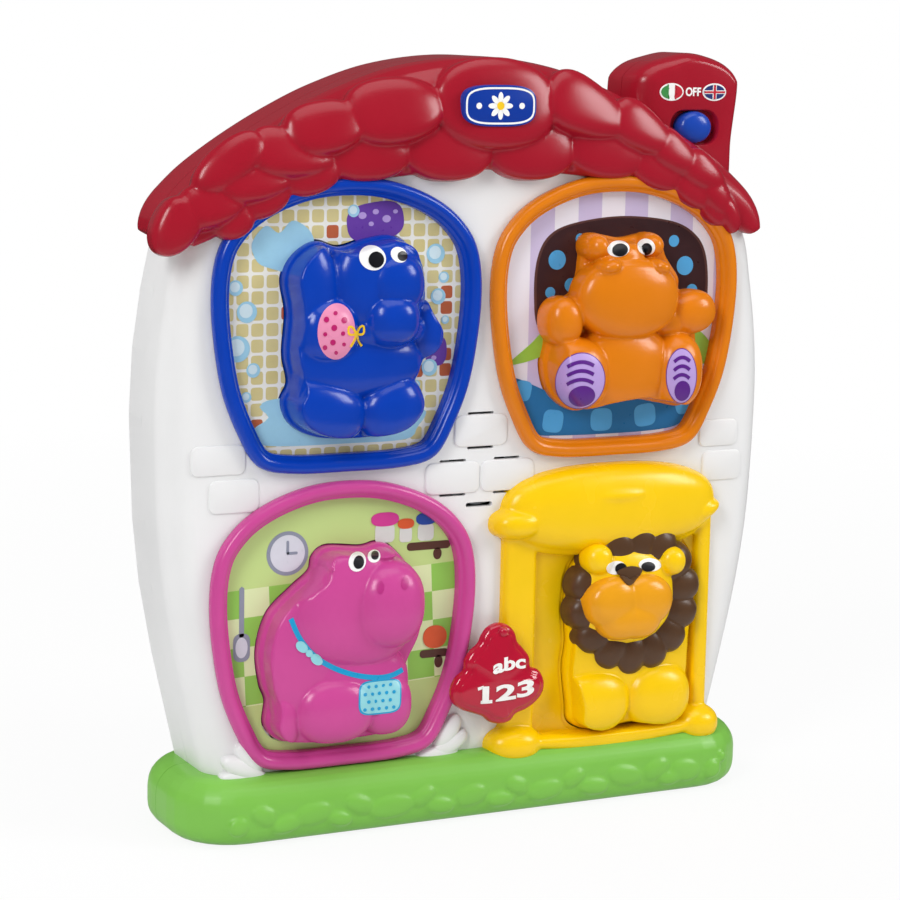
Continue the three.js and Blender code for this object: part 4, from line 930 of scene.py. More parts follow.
class SHAPESORTER_OT_cards(bpy.types.Operator):
    """Builds the three printed cards with plain generic pictures"""

    bl_idname = "shape_sorter.cards"
    bl_label = "Picture Cards"

    def execute(self, context):
        for name, pattern in (("blue", tiles), ("orange", stripes), ("pink", checks)):
            card(name, laminated(pattern))
        dress(laminated(tiles), "blue_picture_card", "orange_picture_card", "pink_picture_card")

        bubbles = [(-112, 232, 3.2), (-107, 222, 4.4), (-111, 207, 5.4), (-104, 198, 3), (-107, 187, 2.2),
                   (-22, 244, 4.2), (-18, 234, 2.4), (-20.5, 226, 3.4), (-17, 216, 1.8), (-24, 196, 3.6),
                   (-60, 262.5, 2.6), (-30, 189, 1.8)]
        puddle = smooth_ring([(-98, 166.5), (-60, 165.5), (-34, 166), (-29, 171), (-25, 177), (-31, 181),
                              (-28, 186), (-40, 186), (-90, 186), (-101, 183), (-97, 178), (-104, 173)], 90)
        foam = smooth_ring([(-98, 240), (-86, 238), (-78, 246), (-79, 254), (-87, 259), (-93, 254),
                            (-99, 257), (-105, 250), (-103, 243)], 60)
        sponge_spots = [(-56, 260.5, 1.8), (-50, 262, 1.4), (-45, 259, 1.9), (-52, 257, 1.2), (-41, 262, 1.1),
                        (-21, 205, 1.7), (-22, 200, 1.2)]
        panel = smooth_ring([(29, 211), (26.5, 225), (27.5, 240), (33, 250), (45, 255), (68, 257.5),
                             (92, 255), (104, 249), (109.5, 240), (111, 225), (109, 211), (98, 205),
                             (70, 204), (40, 205)], 110)
        panel_dots = [(36, 240, 4.2), (43, 229, 3), (33, 226, 2.4), (100, 236, 4.2), (94, 247, 2.6),
                      (104, 225, 2.8), (47, 249, 2.2)]
        left_hill = smooth_ring([(14, 196), (20, 196), (28, 198), (36, 201), (34, 212), (24, 204)], 50)
        right_hill = smooth_ring([(100, 195), (112, 192), (117, 194), (114, 202), (106, 208), (99, 204)], 50)
        blanket = smooth_ring([(26, 166), (40, 163.5), (86, 163.5), (102, 167), (110, 178), (112, 190),
                               (98, 182), (70, 177), (42, 180), (15, 190), (18, 178)], 110)
        blanket_checks = [(21, 184, 4, 4.4, -12), (36, 170, 5, 5, -8), (60, 169.5, 5.4, 5, 0),
                          (82, 170.5, 5.4, 5, 6), (101, 176, 4, 6, 12), (48, 177, 4, 2, -4)]
        shelves = [rounded_box(-33, -12.5, 117.5, 121, 1.5, 48), rounded_box(-26, -12.5, 70, 73.5, 1.5, 48),
                   oval(-18.5, 115.5, 2, 2.6, 24), oval(-17, 68, 2, 2.8, 24)]
        jars = [rounded_box(-48, -39, 122, 130, 2, 40), rounded_box(-36.6, -30.8, 121.5, 128, 1.5, 40),
                rounded_box(-28, -20.5, 121.5, 129, 2, 40)]
        clock_and_brush = [oval(-88, 120.5, 9.4, 9.4, 60), rounded_box(-112, -104.5, 76, 88, 3, 40),
                           rounded_box(-109.4, -107.2, 86, 108, 1, 30)]
        clock_hands = [rounded_box(-88.6, -87.4, 120, 126, 0.5, 24),
                       rounded_box(-88.4, -83.5, 119.9, 121.1, 0.5, 24)]

        # Each print lies as many layers above its card as the number says.
        print_root, layer_height = 0.05, 0.12
        for name, colour, layers, outlines in (
                ("blue_card_bubbles", "sky", 2, [oval(x, z, r, r, 28) for x, z, r in bubbles]),
                ("blue_card_bubble_glints", "pale sky", 3,
                 [oval(x - 0.1 * r, z + 0.12 * r, 0.66 * r, 0.66 * r, 24) for x, z, r in bubbles]),
                ("blue_card_water", "sky", 1, [puddle, foam]),
                ("blue_card_sponge", "violet", 1,
                 [oval(-50, 258, 13, 8, 48, 8, 0.7), oval(-21, 203, 5, 6.5, 40, 0, 0.75)]),
                ("blue_card_sponge_spots", "lilac", 2,
                 [oval(x, z, r, r * 0.8, 20) for x, z, r in sponge_spots]),
                ("orange_card_panel", "dark brown", 1, [panel]),
                ("orange_card_panel_edge", "brown", 0.5, [towards(panel, 1.03)]),
                ("orange_card_dots", "light blue", 2, [oval(x, z, r, r, 28) for x, z, r in panel_dots]),
                ("orange_card_cushions", "leaf green", 1.5, [left_hill, right_hill]),
                ("orange_card_blanket", "deep blue", 1, [blanket]),
                ("orange_card_blanket_checks", "light blue", 2,
                 [oval(x, z, wide, high, 36, tilt, 0.6) for x, z, wide, high, tilt in blanket_checks]),
                ("pink_card_shelves", "shelf brown", 1, shelves),
                ("pink_card_jars", "pale grey", 2, jars),
                ("pink_card_lid_pink", "magenta", 3, [oval(-43.5, 132, 6.4, 3, 36, 0, 0.8)]),
                ("pink_card_lid_orange", "orange red", 3,
                 [oval(-33.7, 129.5, 3.8, 2.2, 30, 0, 0.8), oval(-19, 79, 5.6, 5, 36, 0, 0.9)]),
                ("pink_card_lid_blue", "royal blue", 3, [oval(-24.2, 131, 4.7, 2.6, 36, 0, 0.8)]),
                ("pink_card_clock", "steel grey", 1, clock_and_brush),
                ("pink_card_clock_face", "light grey", 2,
                 [oval(-88, 120.5, 7.8, 7.8, 60), oval(-108.3, 82, 2.7, 4.4, 40)]),
                ("pink_card_clock_hands", "steel grey", 3, clock_hands)):
            bm = new_mesh()
            for outline in outlines:
                plate(bm, outline, [(0, CARD_FRONT + print_root), (0, CARD_FRONT - layer_height * layers)])
            piece(name, bm, ink(colour))
        return {"FINISHED"}


class SHAPESORTER_OT_roof(bpy.types.Operator):
    """Sculpts the tiled roof and parts it into its front and back halves"""

    bl_idname = "shape_sorter.roof"
    bl_label = "Tiled Roof"

    def execute(self, context):
        # Half of the line that the roof follows: across, up, and half of its height there
        half = [(0, 302.5, 23.5), (30, 300, 22.6), (55, 294.6, 20), (75, 288, 17.4), (92, 281, 15),
                (107, 273.4, 13), (118, 266.4, 11.6), (126, 261, 9.4), (131, 255.4, 6.8), (133.8, 250.8, 3)]
        spine = smooth_ring([(-x, z, high) for x, z, high in reversed(half[1:])] + half, 120, closed=False)
        middle = (ROOF_BACK + ROOF_FRONT) / 2
        reach = (ROOF_BACK - ROOF_FRONT) / 2
        # The round edges of the roof's section: back or front, top or underside, radius, first angle
        edges = ((1, 1, 17, 0), (-1, 1, 10, 90), (-1, -1, 3, 180), (1, -1, 3, 270))
        steps = 5
        rows = []
        for index, (x, z, high) in enumerate(spine):
            before, after = spine[max(index - 1, 0)], spine[min(index + 1, len(spine) - 1)]
            along = Vector((after[0] - before[0], after[1] - before[1])).normalized()
            up = Vector((-along.y, along.x))
            row = []
            for side, top, radius, start in edges:
                corner = min(radius, high * 0.98)
                for step in range(steps + 1):
                    angle = math.radians(start + 90 * step / steps)
                    deep = side * (reach - corner) + math.cos(angle) * corner
                    rise = top * (high - corner) + math.sin(angle) * corner
                    row.append(Vector((x + up.x * rise, middle - deep, z + up.y * rise)) * MM)
            rows.append(row)
        bm = new_mesh()
        capped(bm, rows)
        bmesh.ops.recalc_face_normals(bm, faces=bm.faces)

        # Tiles of the upper row, with their tilt, their lean and how pointed they are
        for x, z, wide, high, tilt, lean, point in (
                (5.5, 306, 28.5, 19.5, 0, -12, 0), (-41.5, 302.5, 22.5, 14.5, 6, -20, 0.1),
                (-72.5, 295.5, 18.5, 11.8, 10, -22, 0.1), (-87.5, 284.5, 19.5, 11, -10, -22, 0.4),
                (-114, 281.5, 18, 8.5, 36, -20, -0.1), (-104, 274.5, 17.5, 10.4, -2, -20, 0.4),
                (-121.5, 264.5, 14.5, 9.5, 6, -18, 0.35), (-137, 256.8, 12.8, 9, 57, -8, -0.2),
                (50, 303, 22.5, 13.6, -24, -18, 0.45), (77, 294, 18, 10.8, -30, -16, 0.45),
                (93, 284, 14, 9, -34, -14, 0.4), (107.5, 276, 13, 8.4, -34, -12, 0.35),
                (114.5, 265.5, 10.5, 7.2, -54, -8, 0.3), (121.5, 258, 9, 5, -66, 0, 0)):
            lump(bm, *sighted(x, z, -7), wide, high, -0.5, -9.4, tilt, flat=0.42, lean=lean, plan=0.88,
                 point=point)
        for x, z, wide, high, tilt in (
                (-19.5, 287, 20.5, 12.8, 0), (19.5, 287, 20.5, 12.8, 0), (-56, 286, 19, 11.5, 4),
                (56, 286, 19, 11.5, -4), (-82, 278.5, 14, 9.5, 16), (81, 279, 14, 9.5, -18),
                (-102, 269, 12, 8.5, 26), (99.5, 270, 12, 8, -28), (-115, 260, 9, 8, 30),
                (111, 261.5, 9, 7.5, -40)):
            lump(bm, x, z, wide, high, -0.5, -7.8, tilt, flat=0.42, lean=-8, plan=0.88)
        halved(sculpted(bm, sizes().roof_grain, 3), ("roof_front_tiles", "roof_back_cap"),
               ("roof_front", "roof_back"), plastic("roof"))
        return {"FINISHED"}


class SHAPESORTER_OT_badge(bpy.types.Operator):
    """Builds the badge on the roof, with a white line and a plain daisy"""

    bl_idname = "shape_sorter.badge"
    bl_label = "Roof Badge"

    def execute(self, context):
        x, z, front = 0, 306.1, -11.8
        outline = oval(x, z, 17, 8.6, 96, 0, 0.62)
        bm = new_mesh()
        plate(bm, outline, [(0, front + 5.4), (0, front + 0.5), (-0.15, front + 0.15), (-0.5, front)])
        # Gloss ABS in deep blue: small, sharp reflections
        piece("badge_plate", bm, moulded("gloss moulded ABS navy", linear("#10389A"), 0.2),
              stands_for=("roof_badge",))
        root, face = front + 0.1, front - 0.08
        line = new_mesh()
        collar(line, outline, [(-0.9, root), (-0.9, face), (-1.7, face), (-1.7, root)])
        petals = 8
        for step in range(petals):
            angle = 2 * math.pi * step / petals
            petal = oval(x + 3.4 * math.cos(angle), z + 3.4 * math.sin(angle), 2.3, 1.15, 28,
                         math.degrees(angle))
            plate(line, petal, [(0, root), (0, front - 0.1)])
        for side in (-1, 1):
            plate(line, oval(x + side * 10, z, 1.3, 1.3, 24), [(0, root), (0, front - 0.1)])
        piece("badge_print", line, ink("white"))
        heart = new_mesh()
        plate(heart, oval(x, z, 1.7, 1.7, 28), [(0, root), (0, front - 0.16)])
        piece("badge_flower_heart", heart, ink("sun yellow"))
        return {"FINISHED"}


class SHAPESORTER_OT_chimney(bpy.types.Operator):
    """Builds the chimney in two halves, its switch pocket, its knob and the print above it"""

    bl_idname = "shape_sorter.chimney"
    bl_label = "Chimney And Switch"

    def execute(self, context):
        left, foot, width, height = 76.55, 261.7, 52, 66.7
        outline = smooth_ring([(left + u * width, foot + v * height) for u, v in CHIMNEY_SHARES], 140)
        seam = (CHIMNEY_FRONT + CHIMNEY_BACK) / 2
        rows = []
        for grow, depth in [(0, seam), (0, seam - 3)] + quarter(9, CHIMNEY_FRONT, 9):
            # The front edge is rounder on the chimney's left side, and that fades out over 20 mm.
            weights = [min(max((100 - point.x) / 20, 0), 1) for point in outline]
            inner = grown(outline, grow * 0.5)
            shifted = [point + Vector((-grow * weight * 0.9, 0)) for point, weight in zip(inner, weights)]
            rows.append(at_depth(shifted, depth))
        bm = new_mesh()
        back, rim = loft(bm, rows)
        bmesh.ops.edgeloop_fill(bm, edges=back)
        pocket = rounded_box(SWITCH_X - 12, SWITCH_X + 12, SWITCH_Z - 7.3, SWITCH_Z + 7.3, 6.2, 72)
        walls = [at_depth(grown(pocket, grow), CHIMNEY_FRONT + deep) for grow, deep in (
            (1.1, 0), (0.45, 0.18), (0, 0.9), (-0.3, 4.6))]
        mouth, floor = loft(bm, walls)
        bmesh.ops.edgeloop_fill(bm, edges=floor)
        faced(bm, rim + mouth)
        front = piece("chimney_front_shell", bm, plastic("roof"),
                      stands_for=("chimney_front",))
        bm = new_mesh()
        levels = [(grow, CHIMNEY_BACK - (depth - CHIMNEY_FRONT)) for grow, depth in
                  reversed(quarter(5.5, CHIMNEY_FRONT, 7))] + [(0, seam + SEAM_GAP)]
        plate(bm, outline, levels)
        piece("chimney_back_shell", bm, plastic("roof"), stands_for=("chimney_back",))

        bm = new_mesh()
        knob = oval(SWITCH_X, SWITCH_Z, 8.4, 7.0, 56)
        capped(bm, [at_depth(towards(knob, share), depth) for share, depth in (
            (1, 9.6), (1, 6.6), (0.985, 5.4), (0.94, 4.3), (0.86, 3.5), (0.74, 2.85), (0.58, 2.4),
            (0.4, 2.1), (0.2, 1.95), (0.06, 1.9))])
        piece("switch_knob_cap", bm, plastic("knob"), body="language_knob",
              stands_for=("language_switch_knob",))

        surface = surface_of(front)
        left_flag, right_flag, flag_z = 89.2, 110.8, 311.8
        field = oval(left_flag, flag_z, 5.3, 3.1)
        across = [(105.6, flag_z), (right_flag, flag_z), (116, flag_z)]
        upright = [(right_flag, 308.8), (right_flag, flag_z), (right_flag, 314.8)]
        for name, colour, marks in (
                ("white", "white", [(lettered, "OFF", 100, 311.9, 3.8, 7.6),
                                    (patch, oval(left_flag, flag_z, 6, 3.8)),
                                    (patch, oval(right_flag, flag_z, 6, 3.8))]),
                ("green", "flag green", [(patch, [Vector((min(p.x, 87.6), p.y)) for p in field], 2)]),
                ("navy", "flag navy", [(patch, oval(right_flag, flag_z, 5.3, 3.1), 2)]),
                ("cross", "white", [(ribbon, across, 1.5, 3, 12), (ribbon, upright, 1.9, 3.1, 10)]),
                ("red", "flag red", [(patch, [Vector((max(p.x, 90.8), p.y)) for p in field], 2),
                                     (ribbon, across, 0.8, 4, 12), (ribbon, upright, 1.0, 4.1, 10)])):
            printed(f"switch_print_{name}", colour, surface, marks)
        return {"FINISHED"}


class SHAPESORTER_OT_base(bpy.types.Operator):
    """Sculpts the green base with its raised leaves and parts it into two halves"""

    bl_idname = "shape_sorter.base"
    bl_label = "Green Base"

    def execute(self, context):
        plan = rounded_box(-BASE_HALF_LENGTH, BASE_HALF_LENGTH, BASE_FRONT, BASE_BACK, BASE_CORNER, 260)
        foot_radius, top_radius, steps = 9, 12, 6
        angles = [math.pi / 2 * step / steps for step in range(steps + 1)]
        levels = [(-foot_radius * (1 - math.sin(a)), foot_radius * (1 - math.cos(a))) for a in angles]
        levels += [(-top_radius * (1 - math.sin(a)), BASE_HEIGHT - top_radius * (1 - math.cos(a)))
                   for a in reversed(angles)]
        bm = new_mesh()
        capped(bm, [[Vector((p.x, p.y, height)) * MM for p in grown(plan, grow)] for grow, height in levels])
        bmesh.ops.recalc_face_normals(bm, faces=bm.faces)
        relief = sizes().leaf_relief / MM
        for x, z, wide, high, tilt in (
                (-115, 10, 4.6, 4, 20), (-104, 13.5, 6, 4, -25), (-94, 9, 7, 3.6, 10), (-82, 12, 9, 4.6, 8),
                (-70, 8.6, 6, 3.2, -10), (-61, 13.6, 7, 4, -18), (-46, 11, 11, 4.8, 4),
                (-31, 13.6, 6, 3.6, 24), (-23, 9, 7, 3.6, -8), (-8, 11.6, 8, 4.4, 10), (6, 8.4, 7, 3.2, 0),
                (14, 13.4, 6, 3.8, -20), (28, 10, 9, 4.4, 6), (42, 13.6, 6, 3.6, 20), (52, 9, 8, 3.8, -6),
                (68, 12, 9, 4.6, -10), (84, 13, 7, 4.2, 20), (91, 8.6, 6, 3.2, 0), (99, 11, 8, 5, -4),
                (113.5, 10, 4.6, 4.2, 16), (119, 15, 2.6, 2.6, 0)):
            # Towards the ends the leaves follow the round corners of the base.
            edge = max(abs(x) - (BASE_HALF_LENGTH - BASE_CORNER), 0)
            depth = BASE_FRONT + BASE_CORNER - math.sqrt(max(BASE_CORNER ** 2 - edge ** 2, 1))
            lump(bm, x, z, wide, high, depth + 1.2, depth - relief, tilt, flat=0.55)
        grain = 0.85 * MM
        halved(sculpted(bm, grain, 1), ("base_front_log", "base_back_log"), ("base_front", "base_back"),
               plastic("base"))
        return {"FINISHED"}


class SHAPESORTER_OT_doorway(bpy.types.Operator):
    """Sculpts the yellow doorway: posts, awning, feet and threshold round a recessed panel"""

    bl_idname = "shape_sorter.doorway"
    bl_label = "Yellow Doorway"

    def execute(self, context):
        bm = new_mesh()
        for left, right in ((11, 27.4), (107.9, 115.6)):
            plate(bm, rounded_box(left, right, LOWER_SILL - 1, 134, 3),
                  [(0, 2.5), (0, -2.0), (-0.5, -3.2), (-1.4, -4.0), (-2.6, -4.4)])
        threshold = smooth_ring([(24, 27.5), (40, 24.6), (64, 23.4), (88, 24.6), (108, 27.5), (108, 32),
                                 (64, 31), (24, 32)], 120)
        plate(bm, threshold, [(0, 2.5), (0, -6.6), (-0.6, -8.2), (-1.6, -9.2), (-2.6, -9.6)])
        # The awning with its fold and its crest, its two curled ends, and the feet of the posts
        lump(bm, 63.4, 131.5, 53.5, 19.5, 2, -13, flat=0.6, plan=0.8)
        lump(bm, 64, 121.5, 47, 11.5, 3, -7.6, flat=0.55, plan=0.8)
        lump(bm, 64, 137.5, 27, 6, 0, -13.7, flat=0.85)
        lump(bm, 16.4, 127, 12, 6.8, 0, -12, flat=0.75, plan=0.82)
        lump(bm, 110, 127.6, 9, 5.4, 0, -9.6, 18, flat=0.7, point=0.4)
        lump(bm, 17.6, 28.8, 13.6, 8.4, 0, -12, plan=0.88)
        lump(bm, 110.4, 29.4, 11, 8.4, 0, -12, plan=0.88)
        bmesh.ops.recalc_face_normals(bm, faces=bm.faces)
        grain, clay_back = 0.7 * MM, 2.4
        clay = sculpted(bm, grain, 3)
        cut(clay, clay_back, 1)

        panel = new_mesh()
        edges, _ = loft(panel, [at_depth(rounded_box(22, 114, 24.5, 128, 1.5, 120), 0)])
        pocket = [at_depth(grown(animal_ring("lion"), grow), depth) for grow, depth in (
            (3, 0), (2.6, 0.15), (2.4, 1.1), (ANIMAL_PLAY, 1.1), (ANIMAL_PLAY, POCKET_FLOOR - 0.3))]
        mouth, _ = loft(panel, pocket)
        faced(panel, edges + mouth)
        piece("doorway_moulding", joined(clay, panel), plastic("door"),
              stands_for=("door_surround",), crease=50)
        return {"FINISHED"}


def sculpt_animal(name, material, extra=None, edge=4.5, flat=0.5):
    """An animal's front shell: swellings kept inside the outline of its pocket."""
    outline = animal_ring(name)
    bm = new_mesh()
    plate(bm, outline, [(0, PLATE_BACK + 2), (0, -0.6), (-0.4, -1.9), (-1.2, -2.8), (-2.2, -3.2)])
    bmesh.ops.recalc_face_normals(bm, faces=bm.faces)
    lobes = new_mesh()
    root, rim_inset, rim_root, rim_front = 1.5, 1.4, -4, -22
    for x, z, wide, high, front, tilt in ANIMALS[name]["lobes"]:
        lump(lobes, *sighted(x, z, front * 0.6), wide, high, root, front, tilt, flat=flat, plan=0.86)
    kept_inside(lobes.verts, grown(outline, -rim_inset), edge, rim_root, rim_front)
    bm = joined(bm, lobes)
    if extra:
        extra(bm)
    result = sculpted(bm, sizes().animal_grain, sizes().crease_rounds)
    cut(result, PLATE_BACK - 0.3, 1)
    stands_for = f"{name}_body" if name == "lion" else f"{name}_front"
    return piece(f"{name}_shell", result, material, body=name, stands_for=(stands_for,), crease=60)


def eyes(animal, surface, whites, pupils):
    """Printed eyes: white ovals and black ones on them, each with its whole width and height."""
    for name, colour, layer, count, ovals in (("eye_whites", "white", 1.5, 40, whites),
                                              ("pupils", "black", 3, 36, pupils)):
        marks = [(patch, oval(x, z, wide / 2, high / 2, count, tilt), layer)
                 for x, z, wide, high, tilt in ovals]
        printed(f"{animal}_{name}", colour, surface, marks, animal)


class SHAPESORTER_OT_elephant(bpy.types.Operator):
    """Sculpts the blue elephant with its printed eyes and dotted patch"""

    bl_idname = "shape_sorter.elephant"
    bl_label = "Elephant"

    def execute(self, context):
        surface = surface_of(sculpt_animal("elephant", plastic("blue")))
        eyes("elephant", surface,
             [(-52, 243, 12.4, 10, -20), (-40, 244, 8, 6, -30)],
             [(-50.4, 242.2, 7, 6.6, -20), (-38.4, 243.4, 4.6, 4, -30)])
        spots = [(-72.5, 218, 1.2), (-68.5, 220.5, 0.9), (-64.5, 217.5, 1.3), (-69, 214.5, 1.3),
                 (-73, 212, 0.9), (-65, 212, 0.9), (-69.5, 208.5, 1.2), (-64.5, 207.5, 0.8),
                 (-73, 206.5, 1), (-68, 204.2, 0.8)]
        bow = []
        for side in (-1, 1):
            loop = [(-59, 211.5), (-59 + side * 1.6, 214.2), (-59 + side * 3.4, 214.6),
                    (-59 + side * 3.2, 211.6), (-59, 211.5)]
            end = [(-59, 211.5), (-59 + side * 1.2, 208.4), (-59 + side * 2.6, 206.4)]
            bow += [(ribbon, loop, 0.9, 2, 24), (ribbon, end, 0.9, 2, 14)]
        for name, colour, marks in (
                ("elephant_patch", "rose", [(patch, oval(-68, 213, 8.4, 11.6, 48))]),
                ("elephant_patch_spots", "crimson rose",
                 [(patch, oval(x, z, r, r, 18), 2, 2) for x, z, r in spots]),
                ("elephant_patch_bow", "sun yellow", bow)):
            printed(name, colour, surface, marks, "elephant")
        dress(plastic("blue"), "elephant_back")
        return {"FINISHED"}


class SHAPESORTER_OT_sitting_hippo(bpy.types.Operator):
    """Sculpts the orange sitting hippo with its printed eyes and soles"""

    bl_idname = "shape_sorter.sitting_hippo"
    bl_label = "Sitting Hippo"

    def execute(self, context):
        def muzzle_and_arms(bm):
            # Muzzle, nostrils, arms and ears. The third number is the depth at which the place is read.
            for x, z, seen, wide, high, root, front, tilt, flat, plan in (
                    (70.6, 222.6, -12, 24.8, 18, -8, -20.8, 0, 0.55, 0.92),
                    (70.6, 229, -12, 20.6, 11.6, -8, -19.8, 0, 0.55, 0.92),
                    (62.6, 236.4, -18, 5.6, 3.4, -13, -20.6, 14, 0.9, 0.92),
                    (88.2, 235.6, -18, 4.6, 3.2, -13, -20.2, -18, 0.9, 0.92),
                    (39.4, 213.4, -9, 9, 10.8, -5, -15.4, 0, 0.7, 0.9),
                    (103, 215.4, -8, 12.4, 9.8, -4, -14.6, 10, 0.7, 0.9),
                    (54.2, 245.2, -7, 5.8, 6, -3, -13.6, 0, 0.8, 0.92),
                    (81.4, 245.4, -7, 5.6, 5.6, -3, -13.6, 0, 0.8, 0.92)):
                lump(bm, *sighted(x, z, seen), wide, high, root, front, tilt, flat=flat, plan=plan)

        surface = surface_of(sculpt_animal("sitting_hippo", plastic("orange"),
                                           muzzle_and_arms))
        eyes("sitting_hippo", surface,
             [(65, 244.2, 11, 7, 0), (79, 244.8, 9, 7, -14)],
             [(65.8, 243.6, 7.6, 5.4, 0), (79.4, 244, 5.2, 4.8, -14)])
        lines, soles, bars = [], [], []
        for x, z, wide, high, tilt in ((48, 187.4, 11.8, 11.8, 0), (99, 187.4, 7.4, 11.8, 4)):
            lines.append((patch, oval(x, z, wide + 0.5, high + 0.5, 48, tilt)))
            soles.append((patch, oval(x, z, wide, high, 48, tilt), 2))
            share = wide / 12
            for row in range(3):
                top = z + 7.5 - 3.8 * row
                arc = [(x + 6.4 * share * step / 3, top + 0.6 - 0.2 * step * step) for step in range(-3, 4)]
                bars.append((ribbon, arc, 1.6, 3, 20))
            bars.append((patch, oval(x + share, z - 6.6, 6.4 * share, 4.4, 36), 3))
        for name, colour, marks in (("sitting_hippo_sole_line", "plum", lines),
                                    ("sitting_hippo_soles", "lilac", soles),
                                    ("sitting_hippo_sole_bars", "plum", bars)):
            printed(name, colour, surface, marks, "sitting_hippo")
        dress(plastic("orange"), "sitting_hippo_back")
        return {"FINISHED"}


class SHAPESORTER_OT_standing_hippo(bpy.types.Operator):
    """Sculpts the pink standing hippo with its printed eyes, band and dotted bib"""

    bl_idname = "shape_sorter.standing_hippo"
    bl_label = "Standing Hippo"

    def execute(self, context):
        surface = surface_of(sculpt_animal("standing_hippo", plastic("pink"), flat=0.42))
        eyes("standing_hippo", surface,
             [(-57, 115, 8, 8.4, 0), (-49.2, 116.8, 6, 5.4, -10)],
             [(-56.4, 114.6, 4.8, 5.4, 0), (-48.8, 117, 3.6, 3.6, -10)])
        strap = [(-87, 93), (-83, 84.5), (-76, 76), (-67, 70), (-57, 66), (-47, 64), (-40, 64.4), (-35, 66.4)]
        bib_x, bib_z = -45.4, 55.4
        flower_x, flower_z = -78.5, 77.5
        bib = [(patch, oval(bib_x, bib_z, 9.3, 6.9, 60, 0, 0.45), 2)]
        for side, high in ((-1, 3), (1, -3)):
            bib.append((patch, oval(flower_x + side * 3.4, flower_z + high, 3.1, 2.1, 30, -40), 2.5))
        bib.append((patch, oval(flower_x, flower_z, 1.6, 1.6, 24), 3))
        dots = []
        for row in range(4):
            for column in range(5):
                x = -52.6 + 3.4 * column + (1.7 if row % 2 else 0)
                if x < -38:
                    dots.append((patch, oval(x, 50.4 + 3.3 * row, 0.75, 0.75, 16), 3, 2))
        for name, colour, marks in (
                ("nostrils", "deep pink", [(patch, oval(-46, 103, 1.7, 2.8, 30)),
                                           (patch, oval(-34.6, 104, 1.8, 2.8, 30))]),
                ("band", "cyan blue", [(ribbon, strap, 2.3, 1, 70),
                                       (patch, oval(bib_x, bib_z, 10, 7.6, 60, 0, 0.45))]),
                ("bib", "pale aqua", bib),
                ("bib_dots", "cyan blue", dots)):
            printed(f"standing_hippo_{name}", colour, surface, marks, "standing_hippo")
        dress(plastic("pink"), "standing_hippo_back")
        return {"FINISHED"}


class SHAPESORTER_OT_lion(bpy.types.Operator):
    """Sculpts the lion: body, curled mane, face, ears, muzzle, eyes and nose"""

    bl_idname = "shape_sorter.lion"
    bl_label = "Lion"

    def execute(self, context):
        def head(bm):
            lump(bm, *sighted(77, 88.6, -13), 24.5, 22.5, -1, -15.5, flat=0.42)
            for x, z, r in ((60.6, 107, 6.8), (98.4, 103.6, 6.5)):
                lump(bm, *sighted(x, z, -13), r, r, -9, -16.5, flat=0.7)

        shell = sculpt_animal("lion", plastic("door"), head, edge=4)
        bm = new_mesh()
        lump(bm, *sighted(78.4, 88.4, -7), 30, 31, 0, -11, flat=0.35)
        curls, first = 14, 0.35
        for step in range(curls):
            angle = 2 * math.pi * (step + first) / curls
            x, z = 78.4 + 23.4 * math.cos(angle), 88.6 + 25 * math.sin(angle)
            lump(bm, *sighted(x, z, -7), 10.6, 8.6, 0, -12.2, math.degrees(angle), flat=0.5, plan=0.86)
        mane = sculpted(bm, sizes().animal_grain, 2)
        cut(mane, -0.5, 1)
        piece("lion_mane_curls", mane, plastic("mane"), body="lion",
              stands_for=("lion_mane",), crease=60)
        bm = new_mesh()
        for x, z, wide, high, tilt in ((-8.6, 86.5, 13.2, 11.6, 10), (8.6, 86.5, 13.2, 11.6, -10),
                                       (-4, 78.5, 12, 9.6, 0), (4, 78.5, 12, 9.6, 0)):
            lump(bm, *sighted(76.8 + x, z + 0.6, -16), wide, high, -11, -21.5, tilt, flat=0.6)
        cheeks = piece("lion_muzzle_cheeks", sculpted(bm, sizes().animal_grain, 8), plastic("muzzle"),
                       body="lion", stands_for=("lion_muzzle",), crease=60)
        surface = surface_of(shell, cheeks)
        eyes("lion", surface,
             [(68.6, 103, 9.6, 6, 0), (86, 103, 11.6, 5.8, -8)],
             [(71, 102.6, 5.8, 4.6, 0), (85, 102.2, 7, 4.4, -8)])
        nose = new_mesh()
        patch(nose, surface, smooth_ring([(76, 94.4), (80.8, 99), (81.4, 101.6), (75.6, 103.2), (69.2, 101.4),
                                          (70.6, 98.8)], 40), 5)
        piece("lion_nose", nose, plastic("mane"), body="lion")
        dress(plastic("door"), "lion_back")
        return {"FINISHED"}


